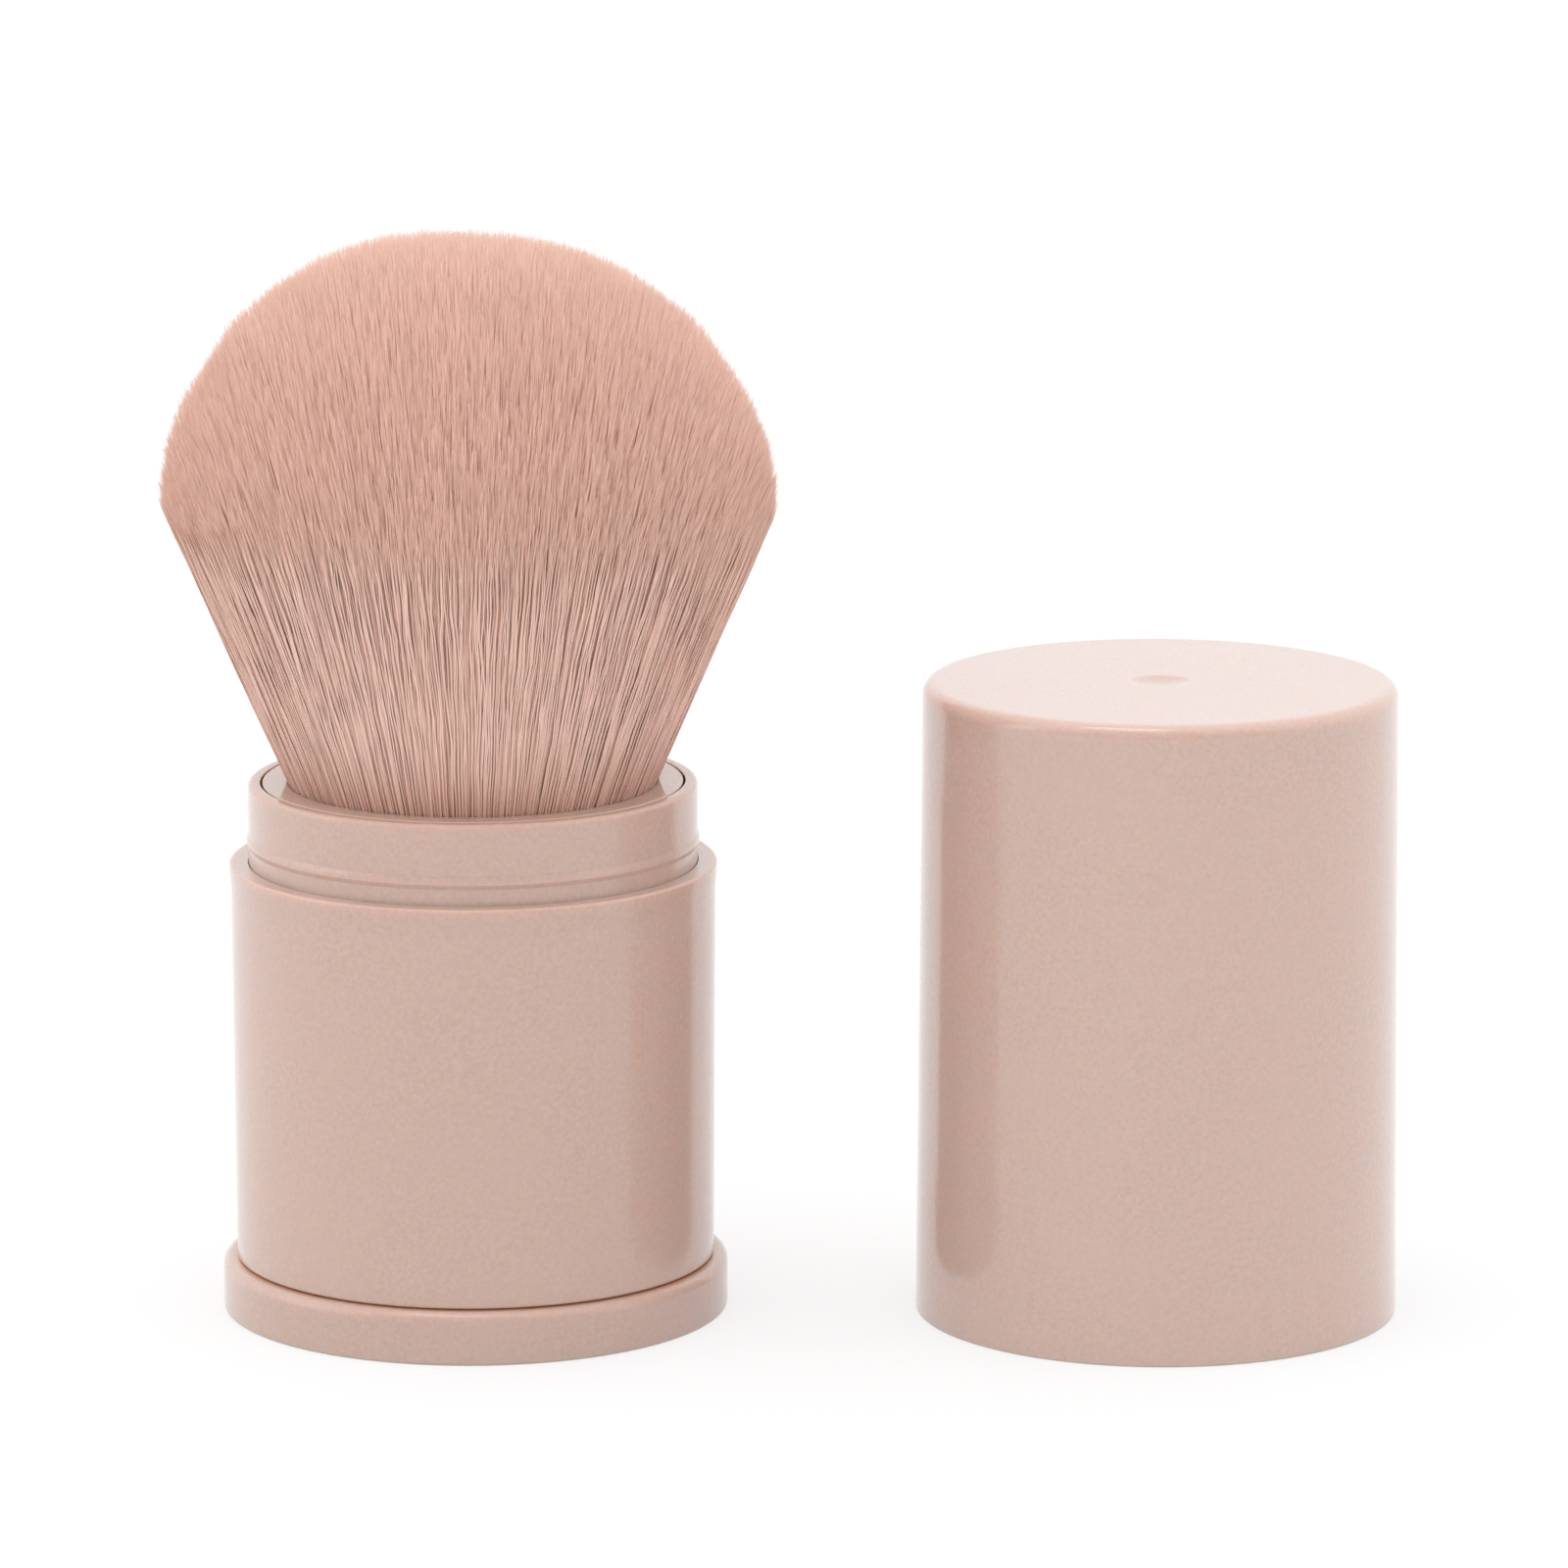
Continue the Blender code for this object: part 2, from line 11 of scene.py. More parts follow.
import bmesh
import bpy
import numpy as np
from bpy.props import (
    FloatProperty,
    FloatVectorProperty,
    IntProperty,
    PointerProperty,
)
from bpy.types import Operator, Panel, PropertyGroup
from mathutils import Matrix, Vector
from mathutils.kdtree import KDTree


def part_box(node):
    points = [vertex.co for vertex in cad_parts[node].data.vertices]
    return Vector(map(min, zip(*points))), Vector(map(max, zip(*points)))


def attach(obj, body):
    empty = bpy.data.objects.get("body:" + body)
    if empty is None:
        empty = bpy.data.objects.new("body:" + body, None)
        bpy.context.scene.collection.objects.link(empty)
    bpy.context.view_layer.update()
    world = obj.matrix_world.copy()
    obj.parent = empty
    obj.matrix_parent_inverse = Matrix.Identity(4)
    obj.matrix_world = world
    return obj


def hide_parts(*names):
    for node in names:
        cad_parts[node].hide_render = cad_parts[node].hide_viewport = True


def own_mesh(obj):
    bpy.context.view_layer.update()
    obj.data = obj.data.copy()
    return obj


bl_info = {
    "name": "Retractable Makeup Brush",
    "version": (1, 0, 0),
    "blender": (4, 5, 0),
    "location": "View3D > Sidebar > Brush",
    "description": "Builds the fine pieces, finishes and stage of a twist-up makeup brush",
    "category": "Object",
}

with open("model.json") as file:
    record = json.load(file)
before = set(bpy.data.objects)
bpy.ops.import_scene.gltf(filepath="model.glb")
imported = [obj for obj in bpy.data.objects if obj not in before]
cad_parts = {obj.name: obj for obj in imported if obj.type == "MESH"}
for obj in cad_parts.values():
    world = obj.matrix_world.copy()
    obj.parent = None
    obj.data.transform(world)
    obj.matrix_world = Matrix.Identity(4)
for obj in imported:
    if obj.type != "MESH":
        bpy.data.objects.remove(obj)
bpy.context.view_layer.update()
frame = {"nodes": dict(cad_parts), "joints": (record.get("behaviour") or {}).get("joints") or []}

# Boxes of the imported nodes, which give the fine pieces their heights and radii
BARREL_LOW, BARREL_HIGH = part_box("barrel_shell")
NECK_LOW, NECK_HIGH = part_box("neck_sleeve")
KNOB_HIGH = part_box("base_knob")[1]
RING_LOW, RING_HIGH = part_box("rim_ring")
CARRIER_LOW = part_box("brush_carrier")[0]
DRAG_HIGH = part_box("drag_ring")[1]
WASHER_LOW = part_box("glide_washer")[0]
CAP_LOW, CAP_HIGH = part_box("cap_shell")

# Turning and rounding. An arc takes no more than a share of the straight beside it, and a support
# point follows it where there is room.
TURN_STEPS = 192
ROUND_STEPS = 6
STRAIGHT_SHARE = 0.45
SUPPORT = 0.00006
SUPPORT_ROOM = SUPPORT * 3
MERGE_DISTANCE = 0.000002
SMOOTH_ANGLE = math.radians(34)

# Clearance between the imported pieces
CLEARANCE = 0.0003

# Small sizes of the moulded pieces: roundings, the reach of the painted shade in the joints' gaps
# and the gate mark
LIP_ROUND = 0.0004
BORE_ROUND = 0.0001
PRESS_ROUND = 0.00008
COLLAR_BORE_ROUND = 0.00012
SHADE_ABOVE_GAP = 0.0001
SHADE_BESIDE_GAP = 0.00005
SHADE_ABOVE_FLOOR = 0.001
DISH_STEPS = 8
DISH_ROUND = 0.002

# Helical grooves: how high the lugs sit on the brush's cup, and how far the cutting bars reach
# below the collar and in past its bore
LUG_RISE = 0.0062
BAR_REACH = 0.003


def length(name, description, default):
    """A length setting in metres."""
    return FloatProperty(
        name=name, description=description, default=default, min=0, precision=5, unit="LENGTH"
    )


def colour(name, description, default):
    """A colour setting in linear light."""
    return FloatVectorProperty(
        name=name, description=description, default=default, size=3, min=0, max=1, subtype="COLOR"
    )


class BarrelSettings(PropertyGroup):
    radius: length("Radius", "Outside radius at the barrel's top", BARREL_HIGH.x)
    draft: length("Draft", "How much narrower the barrel is at its foot", 0.0002)
    wall: length("Wall", "Thickness of the barrel's wall", 0.00125)
    ledge_round: length("Ledge rounding", "Rounding of the barrel's top edge", 0.0003)
    ledge_rise: length("Ledge rise", "How far the moulded ledge stands above its seat", 0.00018)
    lip_out: length("Lip", "How far the lip under the ledge stands out", 0.00014)
    lip_height: length("Lip height", "Height of the lip", 0.0024)
    foot_round: length("Foot rounding", "Rounding of the barrel's lower edge", 0.0002)
    seat_wall: length("Seat wall", "How far the seat under the neck stands in", 0.0006)
    press_gap: length("Press gap", "Gap left where the collar is pressed in", 0.00004)
    groove_wall: length("Groove wall", "Lip above and below the drag ring", 0.00045)
    neck_wall: length("Neck wall", "Thickness of the collar's wall", 0.00106)
    neck_round: length("Neck rounding", "Rounding of the collar's top edge", 0.0004)
    bead_height: length("Bead height", "How far the snap bead stands out", 0.00016)
    bead_start: length("Bead start", "Height of the bead above the ledge", 0.0016)
    bead_width: length("Bead width", "Height of the bead from edge to edge", 0.0011)
    bead_slope: length("Bead slope", "Height of the slopes above and below the bead", 0.0004)
    bead_round: length("Bead rounding", "Rounding of the bead's edges", 0.00012)
    groove_skin: length("Groove skin", "Wall left behind the helical grooves", 0.00035)
    groove_half: length("Groove half height", "Half of a groove's width", 0.00155)


class BaseSettings(PropertyGroup):
    wall: length("Wall", "Thickness of the turning base's wall", 0.0018)
    floor: length("Floor", "Thickness of the turning base's floor", 0.0012)
    foot_round: length("Foot rounding", "Rounding of the foot's edge", 0.00025)
    rim_round: length("Rim rounding", "Rounding of the upper outside edge", 0.0009)
    inner_round: length("Inner rounding", "Rounding of the upper inside edge", 0.0002)
    running_gap: length("Running gap", "Gap under the barrel", 0.0001)
    ring_gap: length("Ring gap", "Gap between the ring and the bristles", 0.00006)
    ring_edge_gap: length("Ring edge gap", "Gap between the ring and the collar", 0.00018)
    ring_inner_round: length("Ring inner rounding", "Rounding at the bristles", 0.00018)
    ring_outer_round: length("Ring outer rounding", "Rounding at the collar", 0.00015)


class HeadSettings(PropertyGroup):
    fibres: IntProperty(
        name="Fibres", description="How many fibres the head has", default=66000, min=100
    )
    tufts: IntProperty(
        name="Tufts", description="How many wedge-shaped pieces make the head", default=16, min=6
    )
    locks: IntProperty(
        name="Locks", description="How many small locks the fibres gather in", default=5200, min=10
    )
    fibre_radius: length("Fibre radius", "Radius of a fibre along most of its length", 0.000076)
    tip_radius: length("Tip radius", "Radius at a fibre's tip", 0.000012)
    squeezed: FloatProperty(
        name="Squeezed share",
        description="Width of the head inside the barrel, as a share of its open width",
        default=0.556,
        min=0.1,
        max=1,
        subtype="FACTOR",
    )
    lean: FloatProperty(
        name="Lean",
        description="Share by which the fibres on the cap's side are shorter than the middle ones",
        default=0.006,
        min=0,
        max=0.05,
        subtype="FACTOR",
    )
    seed: IntProperty(name="Seed", description="Start of the random draws", default=11)


class CapSettings(PropertyGroup):
    aside: length("Place to the side", "How far right of the brush the cap stands", 0.05952)
    forward: length("Place forward", "How far in front of the brush's middle", 0.0015)
    wall: length("Wall", "Thickness of the cap's wall", 0.0011)
    draft: length("Draft", "How much narrower the cap is at its top", 0.00045)
    roof: length("Roof", "Thickness of the cap's top", 0.0014)
    top_round: length("Top rounding", "Rounding of the top's outside edge", 0.0011)
    inner_round: length("Inner rounding", "Rounding of the roof's inside edge", 0.0015)
    mouth_round: length("Mouth rounding", "Rounding of the mouth's outside edge", 0.0002)
    snap_depth: length("Snap depth", "Depth of the groove that snaps over the bead", 0.0002)
    dimple_radius: length("Dimple radius", "Radius of the round gate mark on top", 0.0026)
    dimple_depth: length("Dimple depth", "Depth of the dished gate mark", 0.0004)


class ColourSettings(PropertyGroup):
    rose: colour("Rose", "Barrel", (0.566, 0.403, 0.345))
    # Painted shade: the base's colour is a darker copy of the rose, for the weaker light near the
    # floor.
    base: colour("Base", "Turning base", (0.545, 0.39, 0.335))
    # Painted light: the cap's colour is a lighter copy of the rose, for the brighter light on the
    # cap.
    cap: colour("Cap", "Cap", (0.583, 0.42, 0.362))
    collar: colour("Collar", "Collar above the ledge", (0.566, 0.405, 0.347))
    ring: colour("Ring", "Ring round the bristles", (0.595, 0.435, 0.372))
    fibre_root: colour("Fibre root", "Fibres just above the ring", (0.932, 0.642, 0.542))
    fibre_tip: colour("Fibre tip", "Fibres on the dome", (0.897, 0.6, 0.494))
    # Partly the fibres' own darker roots and partly painted shade at the ring.
    fibre_shade: colour("Fibre shade", "Fibres at the ring", (0.71, 0.43, 0.34))
    # Painted shade: the core's colour, which stands for the shade deep among the fibres.
    fibre_depth_shade: colour("Between fibres", "Deep among the fibres", (0.95, 0.61, 0.48))


class StageSettings(PropertyGroup):
    floor_size: length("Floor size", "Edge of the square floor", 8.0)
    floor_white: FloatProperty(
        name="Floor white",
        description="White share of the floor's colour",
        default=0.6,
        min=0,
        max=1,
        subtype="FACTOR",
    )
    dome: FloatProperty(
        name="Surrounding light",
        description="Strength of the white surroundings",
        default=1.33,
        min=0,
    )
    front_gloss: FloatProperty(
        name="Front gloss",
        description="What gloss reflects from the camera's side",
        default=0.3,
        min=0,
        max=1,
        subtype="FACTOR",
    )
    overhead: FloatProperty(
        name="Overhead light", description="Power of the lamp above", default=1.2, unit="POWER"
    )
    side: FloatProperty(
        name="Side light", description="Power of the lamp at the left", default=0.8, unit="POWER"
    )


# Shapes


def rounded(corners):
    """Outline points of (radius, height, rounding) corners, with an arc at each rounded one."""
    points = []
    count = len(corners)
    for index, (radius, height, rounding) in enumerate(corners):
        corner = Vector((radius, height))
        if not rounding:
            points.append(corner)
            continue
        back = Vector(corners[index - 1][:2]) - corner
        ahead = Vector(corners[(index + 1) % count][:2]) - corner
        half_angle = back.angle(ahead) / 2
        longest = min(back.length * STRAIGHT_SHARE, ahead.length * STRAIGHT_SHARE)
        reach = min(rounding / math.tan(half_angle), longest)
        middle = (back.normalized() + ahead.normalized()).normalized()
        centre = corner + middle * (reach / math.cos(half_angle))
        first = corner + back.normalized() * reach - centre
        last = corner + ahead.normalized() * reach - centre
        if back.length - reach > SUPPORT_ROOM:
            points.append(corner + back.normalized() * (reach + SUPPORT))
        for step in range(ROUND_STEPS + 1):
            way = first.normalized().slerp(last.normalized(), step / ROUND_STEPS)
            points.append(centre + way * first.length)
        if ahead.length - reach > SUPPORT_ROOM:
            points.append(corner + ahead.normalized() * (reach + SUPPORT))
    return points


def turned(corners, closed=True):
    """Turn an outline once round Z. An outline that isn't closed starts and ends on the axis."""
    shape = bmesh.new()
    verts = [shape.verts.new((point.x, 0, point.y)) for point in rounded(corners)]
    edges = [shape.edges.new(pair) for pair in zip(verts, verts[1:])]
    if closed:
        edges.append(shape.edges.new((verts[-1], verts[0])))
    bmesh.ops.spin(
        shape,
        geom=verts + edges,
        cent=(0, 0, 0),
        axis=(0, 0, 1),
        angle=math.tau,
        steps=TURN_STEPS,
        use_merge=True,
    )
    bmesh.ops.remove_doubles(shape, verts=shape.verts[:], dist=MERGE_DISTANCE)
    bmesh.ops.dissolve_degenerate(shape, edges=shape.edges[:], dist=MERGE_DISTANCE)
    bmesh.ops.recalc_face_normals(shape, faces=shape.faces[:])
    return shape


def new_object(name, shape):
    """Object of a finished bmesh, which is freed."""
    mesh = bpy.data.meshes.new(name)
    shape.to_mesh(mesh)
    shape.free()
    made = bpy.data.objects.new(name, mesh)
    bpy.context.scene.collection.objects.link(made)
    return made


def settle(made, look, body, slot, *nodes):
    """Give a finished piece its material and its body, and hide the CAD nodes that it stands for.
    """
    made.data.materials.clear()
    made.data.materials.append(look)
    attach(made, body)
    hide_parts(*nodes)
    return made


def smooth(made):
    """Shade an object smooth up to its sharp edges."""
    made.data.shade_smooth()
    made.data.set_sharp_from_angle(angle=SMOOTH_ANGLE)
    return made


def carve(made, tool):
    """Cut one object out of another for good, and remove the tool."""
    step = made.modifiers.new("carve", "BOOLEAN")
    step.object = tool
    step.operation = "DIFFERENCE"
    step.solver = "EXACT"
    depsgraph = bpy.context.evaluated_depsgraph_get()
    carved = bpy.data.meshes.new_from_object(made.evaluated_get(depsgraph))
    made.modifiers.clear()
    made.data = carved
    bpy.data.objects.remove(tool)


# Finishes

WHITE = (1, 1, 1, 1)
# Painted shade: the warm, darker tint painted inside the gaps between moulded pieces, for the shade
# and bounced light there, and how softly it ends
GAP_SHADE = (0.66, 0.37, 0.24)
GAP_SHADE_BLEND = 0.00005
# Depths of the fine reliefs, and how far light spreads inside each plastic
GLOSS_RELIEF = 0.000004
SATIN_RELIEF = 0.000008
ROLLED_RELIEF = 0.000006
SOFT_RELIEF = 0.000006
GLOSS_SPREAD = 0.0016
SATIN_SPREAD = 0.0008


def add_node(tree, kind, inputs=None, **options):
    """A new node in a tree, with its options set and its inputs set or linked."""
    node = tree.nodes.new(kind)
    for name, value in options.items():
        setattr(node, name, value)
    for socket, value in (inputs or {}).items():
        if isinstance(value, bpy.types.NodeSocket):
            tree.links.new(value, node.inputs[socket])
        else:
            node.inputs[socket].default_value = value
    return node


class Finish:
    """A small writer of node materials."""

    def __init__(self, name):
        self.material = bpy.data.materials.new(name)
        self.material.use_nodes = True
        self.tree = self.material.node_tree
        self.shader = self.tree.nodes["Principled BSDF"]
        self.place = self.add("ShaderNodeTexCoord").outputs["Object"]

    def add(self, kind, inputs=None, **options):
        return add_node(self.tree, kind, inputs, **options)

    def noise(self, scale, detail=2.0, stretch=None):
        """Even noise at a number of grains a metre, stretched where asked."""
        place = self.place
        if stretch:
            place = self.add("ShaderNodeMapping", {0: place, 3: stretch}).outputs[0]
        made = self.add("ShaderNodeTexNoise", {0: place, "Scale": scale, "Detail": detail})
        return made.outputs[0]

    def spread(self, value, low, high, start=0.3, end=0.7):
        """A value's run from start to end, laid out from low to high."""
        inputs = {0: value, 1: start, 2: end, 3: low, 4: high}
        return self.add("ShaderNodeMapRange", inputs).outputs[0]

    def within(self, radius, low, high):
        """1 nearer the axis than a radius and between two heights, and 0 elsewhere."""
        axes = self.add("ShaderNodeSeparateXYZ", {0: self.place}).outputs
        flat = self.add("ShaderNodeCombineXYZ", {0: axes[0], 1: axes[1]}).outputs[0]
        reach = self.add("ShaderNodeVectorMath", {0: flat}, operation="LENGTH").outputs["Value"]
        near = self.spread(reach, 1, 0, radius - GAP_SHADE_BLEND, radius + GAP_SHADE_BLEND)
        above = self.spread(axes[2], 0, 1, low - GAP_SHADE_BLEND, low + GAP_SHADE_BLEND)
        below = self.spread(axes[2], 1, 0, high - GAP_SHADE_BLEND, high + GAP_SHADE_BLEND)
        return self.maths("MULTIPLY", near, self.maths("MULTIPLY", above, below))

    def maths(self, operation, first, second):
        return self.add("ShaderNodeMath", {0: first, 1: second}, operation=operation).outputs[0]

    def tint(self, share, first, second):
        """The first colour, turned into the second by a share."""
        inputs = {0: share, 6: first, 7: second}
        return self.add("ShaderNodeMix", inputs, data_type="RGBA").outputs[2]

    def bump(self, height, distance):
        """Relief on the surface, its height in metres where the pattern is 1."""
        made = self.add("ShaderNodeBump", {"Height": height, "Distance": distance, "Strength": 1.0})
        self.tree.links.new(made.outputs[0], self.shader.inputs["Normal"])

    def shade(self, **values):
        """The material, with the shader's inputs set or linked by name."""
        for name, value in values.items():
            socket = self.shader.inputs[name.replace("_", " ")]
            if isinstance(value, bpy.types.NodeSocket):
                self.tree.links.new(value, socket)
            else:
                socket.default_value = value
        return self.material


def paint(shade, factor=1.0):
    """A colour made lighter or darker, with the fourth channel that sockets ask for."""
    return tuple(channel * factor for channel in shade) + (1.0,)


def moulded_gloss(name, shade, roughness, coat, joint=None):
    """Glossy moulded plastic with a fine speckle and faint clouding in its colour.

    A joint is a radius and two heights; inside them the colour is painted warmer and darker as
    painted shade, for the dim light that reaches a gap only through the plastic's edges.
    """
    made = Finish(name)
    speckle = made.noise(scale=2600, detail=3)
    cloud = made.noise(scale=90)
    grain = made.tint(made.spread(speckle, 0, 1), paint(shade, 0.93), paint(shade, 1.06))
    clouded = made.tint(made.spread(cloud, 0, 0.5), grain, paint(shade, 1.02))
    if joint:
        # Painted shade: inside the joint the colour turns to the warm, darker gap shade.
        clouded = made.tint(made.within(*joint), clouded, paint(GAP_SHADE))
    made.bump(made.noise(scale=1500, detail=3), GLOSS_RELIEF)
    return made.shade(
        Base_Color=clouded,
        Roughness=made.spread(speckle, roughness * 0.9, roughness * 1.15),
        IOR=1.5,
        Coat_Weight=coat,
        Coat_Roughness=0.06,
        Coat_IOR=1.5,
        Subsurface_Weight=0.7,
        Subsurface_Radius=(1.0, 0.4, 0.22),
        Subsurface_Scale=GLOSS_SPREAD,
    )


def moulded_satin(name, shade, roughness, grain_scale, subsurface=0.1):
    """Plain moulded plastic with a fine matt grain."""
    made = Finish(name)
    grain = made.noise(grain_scale, detail=4)
    base = made.tint(made.spread(grain, 0, 1), paint(shade, 0.96), paint(shade, 1.03))
    made.bump(grain, SATIN_RELIEF)
    return made.shade(
        Base_Color=base,
        Roughness=made.spread(grain, roughness * 0.88, roughness * 1.12),
        Subsurface_Weight=subsurface,
        Subsurface_Scale=SATIN_SPREAD,
    )


def rolled_aluminium(name):
    """Bright band with fine lines round it from rolling."""
    made = Finish(name)
    lines = made.noise(scale=600, detail=4, stretch=(0.04, 0.04, 12))
    base = made.tint(made.spread(lines, 0, 1), paint((0.55, 0.56, 0.58)), paint((0.7, 0.7, 0.71)))
    made.bump(lines, ROLLED_RELIEF)
    return made.shade(Base_Color=base, Metallic=1.0, Roughness=made.spread(lines, 0.22, 0.36))


def set_resin(name):
    """Clear amber resin with faint clouding."""
    made = Finish(name)
    cloud = made.noise(scale=260, detail=3)
    base = made.tint(made.spread(cloud, 0, 1), paint((0.66, 0.5, 0.28)), paint((0.76, 0.63, 0.4)))
    return made.shade(
        Base_Color=base,
        Roughness=made.spread(cloud, 0.12, 0.24),
        Transmission_Weight=0.25,
        IOR=1.52,
        Coat_Weight=0.3,
    )


def soft_silicone(name):
    """Soft grey-white silicone with a dull skin."""
    made = Finish(name)
    grain = made.noise(scale=1800, detail=3)
    base = made.tint(made.spread(grain, 0, 1), paint((0.53, 0.52, 0.5)), paint((0.6, 0.59, 0.56)))
    made.bump(grain, SOFT_RELIEF)
    return made.shade(
        Base_Color=base,
        Roughness=made.spread(grain, 0.5, 0.62),
        Subsurface_Weight=0.3,
        Subsurface_Scale=SATIN_SPREAD,
    )


def fine_fibre(name, colours, low, high):
    """Soft fibres: the colour warms towards the tips, differs from fibre to fibre, and darkens at
    the ring, partly the fibres' own darker roots and partly painted shade; the core under them
    takes a painted shade colour.
    """
    made = Finish(name)
    height = made.add("ShaderNodeSeparateXYZ", {0: made.place}).outputs[2]
    along = made.spread(height, 0, 1, low, high)
    warm = made.tint(along, paint(colours.fibre_root), paint(colours.fibre_tip))
    # Darker towards the ring: partly the fibres' own darker roots, partly painted shade.
    root_tint_and_shade = made.spread(height, 0.85, 0, RING_HIGH.z, RING_HIGH.z + ROOT_SHADE)
    base = made.tint(root_tint_and_shade, warm, paint(colours.fibre_shade))
    tone = made.add("ShaderNodeAttribute", attribute_name="fibre_tone").outputs["Fac"]
    light = made.spread(tone, 0.94, 1.06, 0, 1)
    streak = made.spread(made.noise(scale=420, stretch=(1, 1, 0.12)), 0.97, 1.03)
    strength = made.maths("MULTIPLY", light, streak)
    toned = made.add("ShaderNodeVectorMath", {0: base, "Scale": strength}, operation="SCALE")
    # Painted shade: the core, with a tone of -1, takes the colour of the shade deep among the
    # fibres.
    depth_shade_share = made.spread(tone, 1, 0, -1, 0)
    final = made.tint(depth_shade_share, toned.outputs[0], paint(colours.fibre_depth_shade))
    return made.shade(
        Base_Color=final,
        Roughness=0.5,
        Specular_IOR_Level=0.35,
        Sheen_Weight=0.18,
        Sheen_Roughness=0.4,
        Sheen_Tint=(1.0, 0.86, 0.8, 1.0),
    )


# Head of fibres

# The fibres lie on lines through one point, the apex, and end on a dome. Outline of the dome
# from its widest edge to its crown, as (height, radius).
DOME_OUTLINE = (
    (0.0708, 0.02645),
    (0.0729, 0.02657),
    (0.0764, 0.026),
    (0.07985, 0.0247),
    (0.0867, 0.0202),
    (0.0918, 0.0133),
    (0.0935, 0.0085),
    (0.0943, 0.0),
)
APEX_HEIGHT = 0.01017
RIM_SLOPE = DOME_OUTLINE[0][1] / (DOME_OUTLINE[0][0] - APEX_HEIGHT)
ROOT_HEIGHT = 0.04378
OUTLINE_STEPS = 600
GOLDEN_ANGLE = math.pi * (3 - math.sqrt(5))
TIP_SHAKE = 0.00022

# How strongly the fibres gather in locks, at shares of the way from the axis to the rim, and how
# much less the locks gather in wisps
LOCK_SHARES = ((0.35, 0.75, 0.92, 1.0), (0.07, 0.19, 0.15, 0.065))
LOCKS_PER_WISP = 12
WISP_SHARE = 0.35

# The ends, as shares of the fibres' full length: most differ a little, a few are shorter, and
# they lean towards one side
END_SHARE = 0.9975
UNEVEN_SHARE = 0.0009
LONG_FIBRES_SHARE = 0.8
SHORTER_SHARE = 0.004
LEAN_WIDTH = 0.013

# Fibres past this share of the way to the rim show down to the ring; the others are only drawn
# near their ends. The last stretch of each is longer than its others, and tapers.
SHELL_SHARE = 0.94
SHELL_POINTS = 12
INNER_POINTS = 4
INNER_LENGTH = 0.014
RIM_SPILL_SHARE = 1.005
TIP_SHARE = 1.3
TAPER_SHARE = 0.86

# The wander of each lock and fibre: how far it goes, and its least turns along a fibre with the
# most that chance adds
LOCK_SWAY, LOCK_TURNS = 0.00011, (0.8, 1.4)
FIBRE_SWAY, FIBRE_TURNS = 0.00009, (0.8, 2.2)
CRIMP_SWAY, CRIMP_TURNS = 0.00006, (3, 2)
LOCK_LEAN, LOCK_LEAN_TURNS = 0.00007, (0.7, 1)
FIBRE_LEAN, FIBRE_LEAN_TURNS = 0.00005, (0.7, 1.5)
INWARDS = 0.00009
WANDER_RATE = 2.2
NEARLY_ZERO = 1e-9

# The closed core under the fibres, its colour painted shade for the depth among them
CORE_SIDE_SHARE = 0.979
CORE_DEPTH = 0.0036
CORE_IN_SHARE = 0.55
CORE_STEPS = 6

# Heights over which the fibres' colour changes; near the ring it darkens, partly the fibres' own
# darker roots and partly painted shade
ROOT_SHADE = 0.0075
TINT_MARGIN = 0.004


def dome_radius(heights):
    """Radius of the dome at some heights. The squared radius runs evenly between the points."""
    known = np.array(DOME_OUTLINE)
    return np.sqrt(np.interp(heights, known[:, 0], known[:, 1] ** 2))


def dome_places(count):
    """Heights that share the dome's area evenly among a number of tips."""
    lowest, highest = DOME_OUTLINE[0][0], DOME_OUTLINE[-1][0]
    # Closer steps near the crown, where the outline is flat.
    steps = 1 - np.linspace(1, 0, OUTLINE_STEPS) ** 2
    heights = lowest + (highest - lowest) * steps
    radii = dome_radius(heights)
    lengths = np.hypot(np.diff(heights), np.diff(radii))
    area = np.concatenate(([0], np.cumsum(lengths * (radii[1:] + radii[:-1]))))
    wanted = (np.arange(count) + 0.5) / count * area[-1]
    return np.interp(wanted, area, heights)


def spread_tips(count, draw):
    """Tips of the fibres: a sunflower pattern over the dome, slightly shaken."""
    heights = dome_places(count)[::-1]
    radii = dome_radius(heights)
    angles = np.arange(count) * GOLDEN_ANGLE
    tips = np.stack((radii * np.cos(angles), radii * np.sin(angles), heights), axis=1)
    return tips + draw.normal(0, TIP_SHAKE, tips.shape)


def gather(tips, count, draw):
    """The lock that each fibre belongs to, and the locks' own tips."""
    middles = spread_tips(count, draw)
    tree = KDTree(count)
    for index, middle in enumerate(middles):
        tree.insert(middle, index)
    tree.balance()
    return np.array([tree.find(tip)[1] for tip in tips]), middles


def wave(chance, run, turns):
    """A sine along a fibre, with its start and its number of turns drawn by chance."""
    least, added = turns
    return np.sin(math.tau * (chance[0] + run * (least + added * chance[1])))


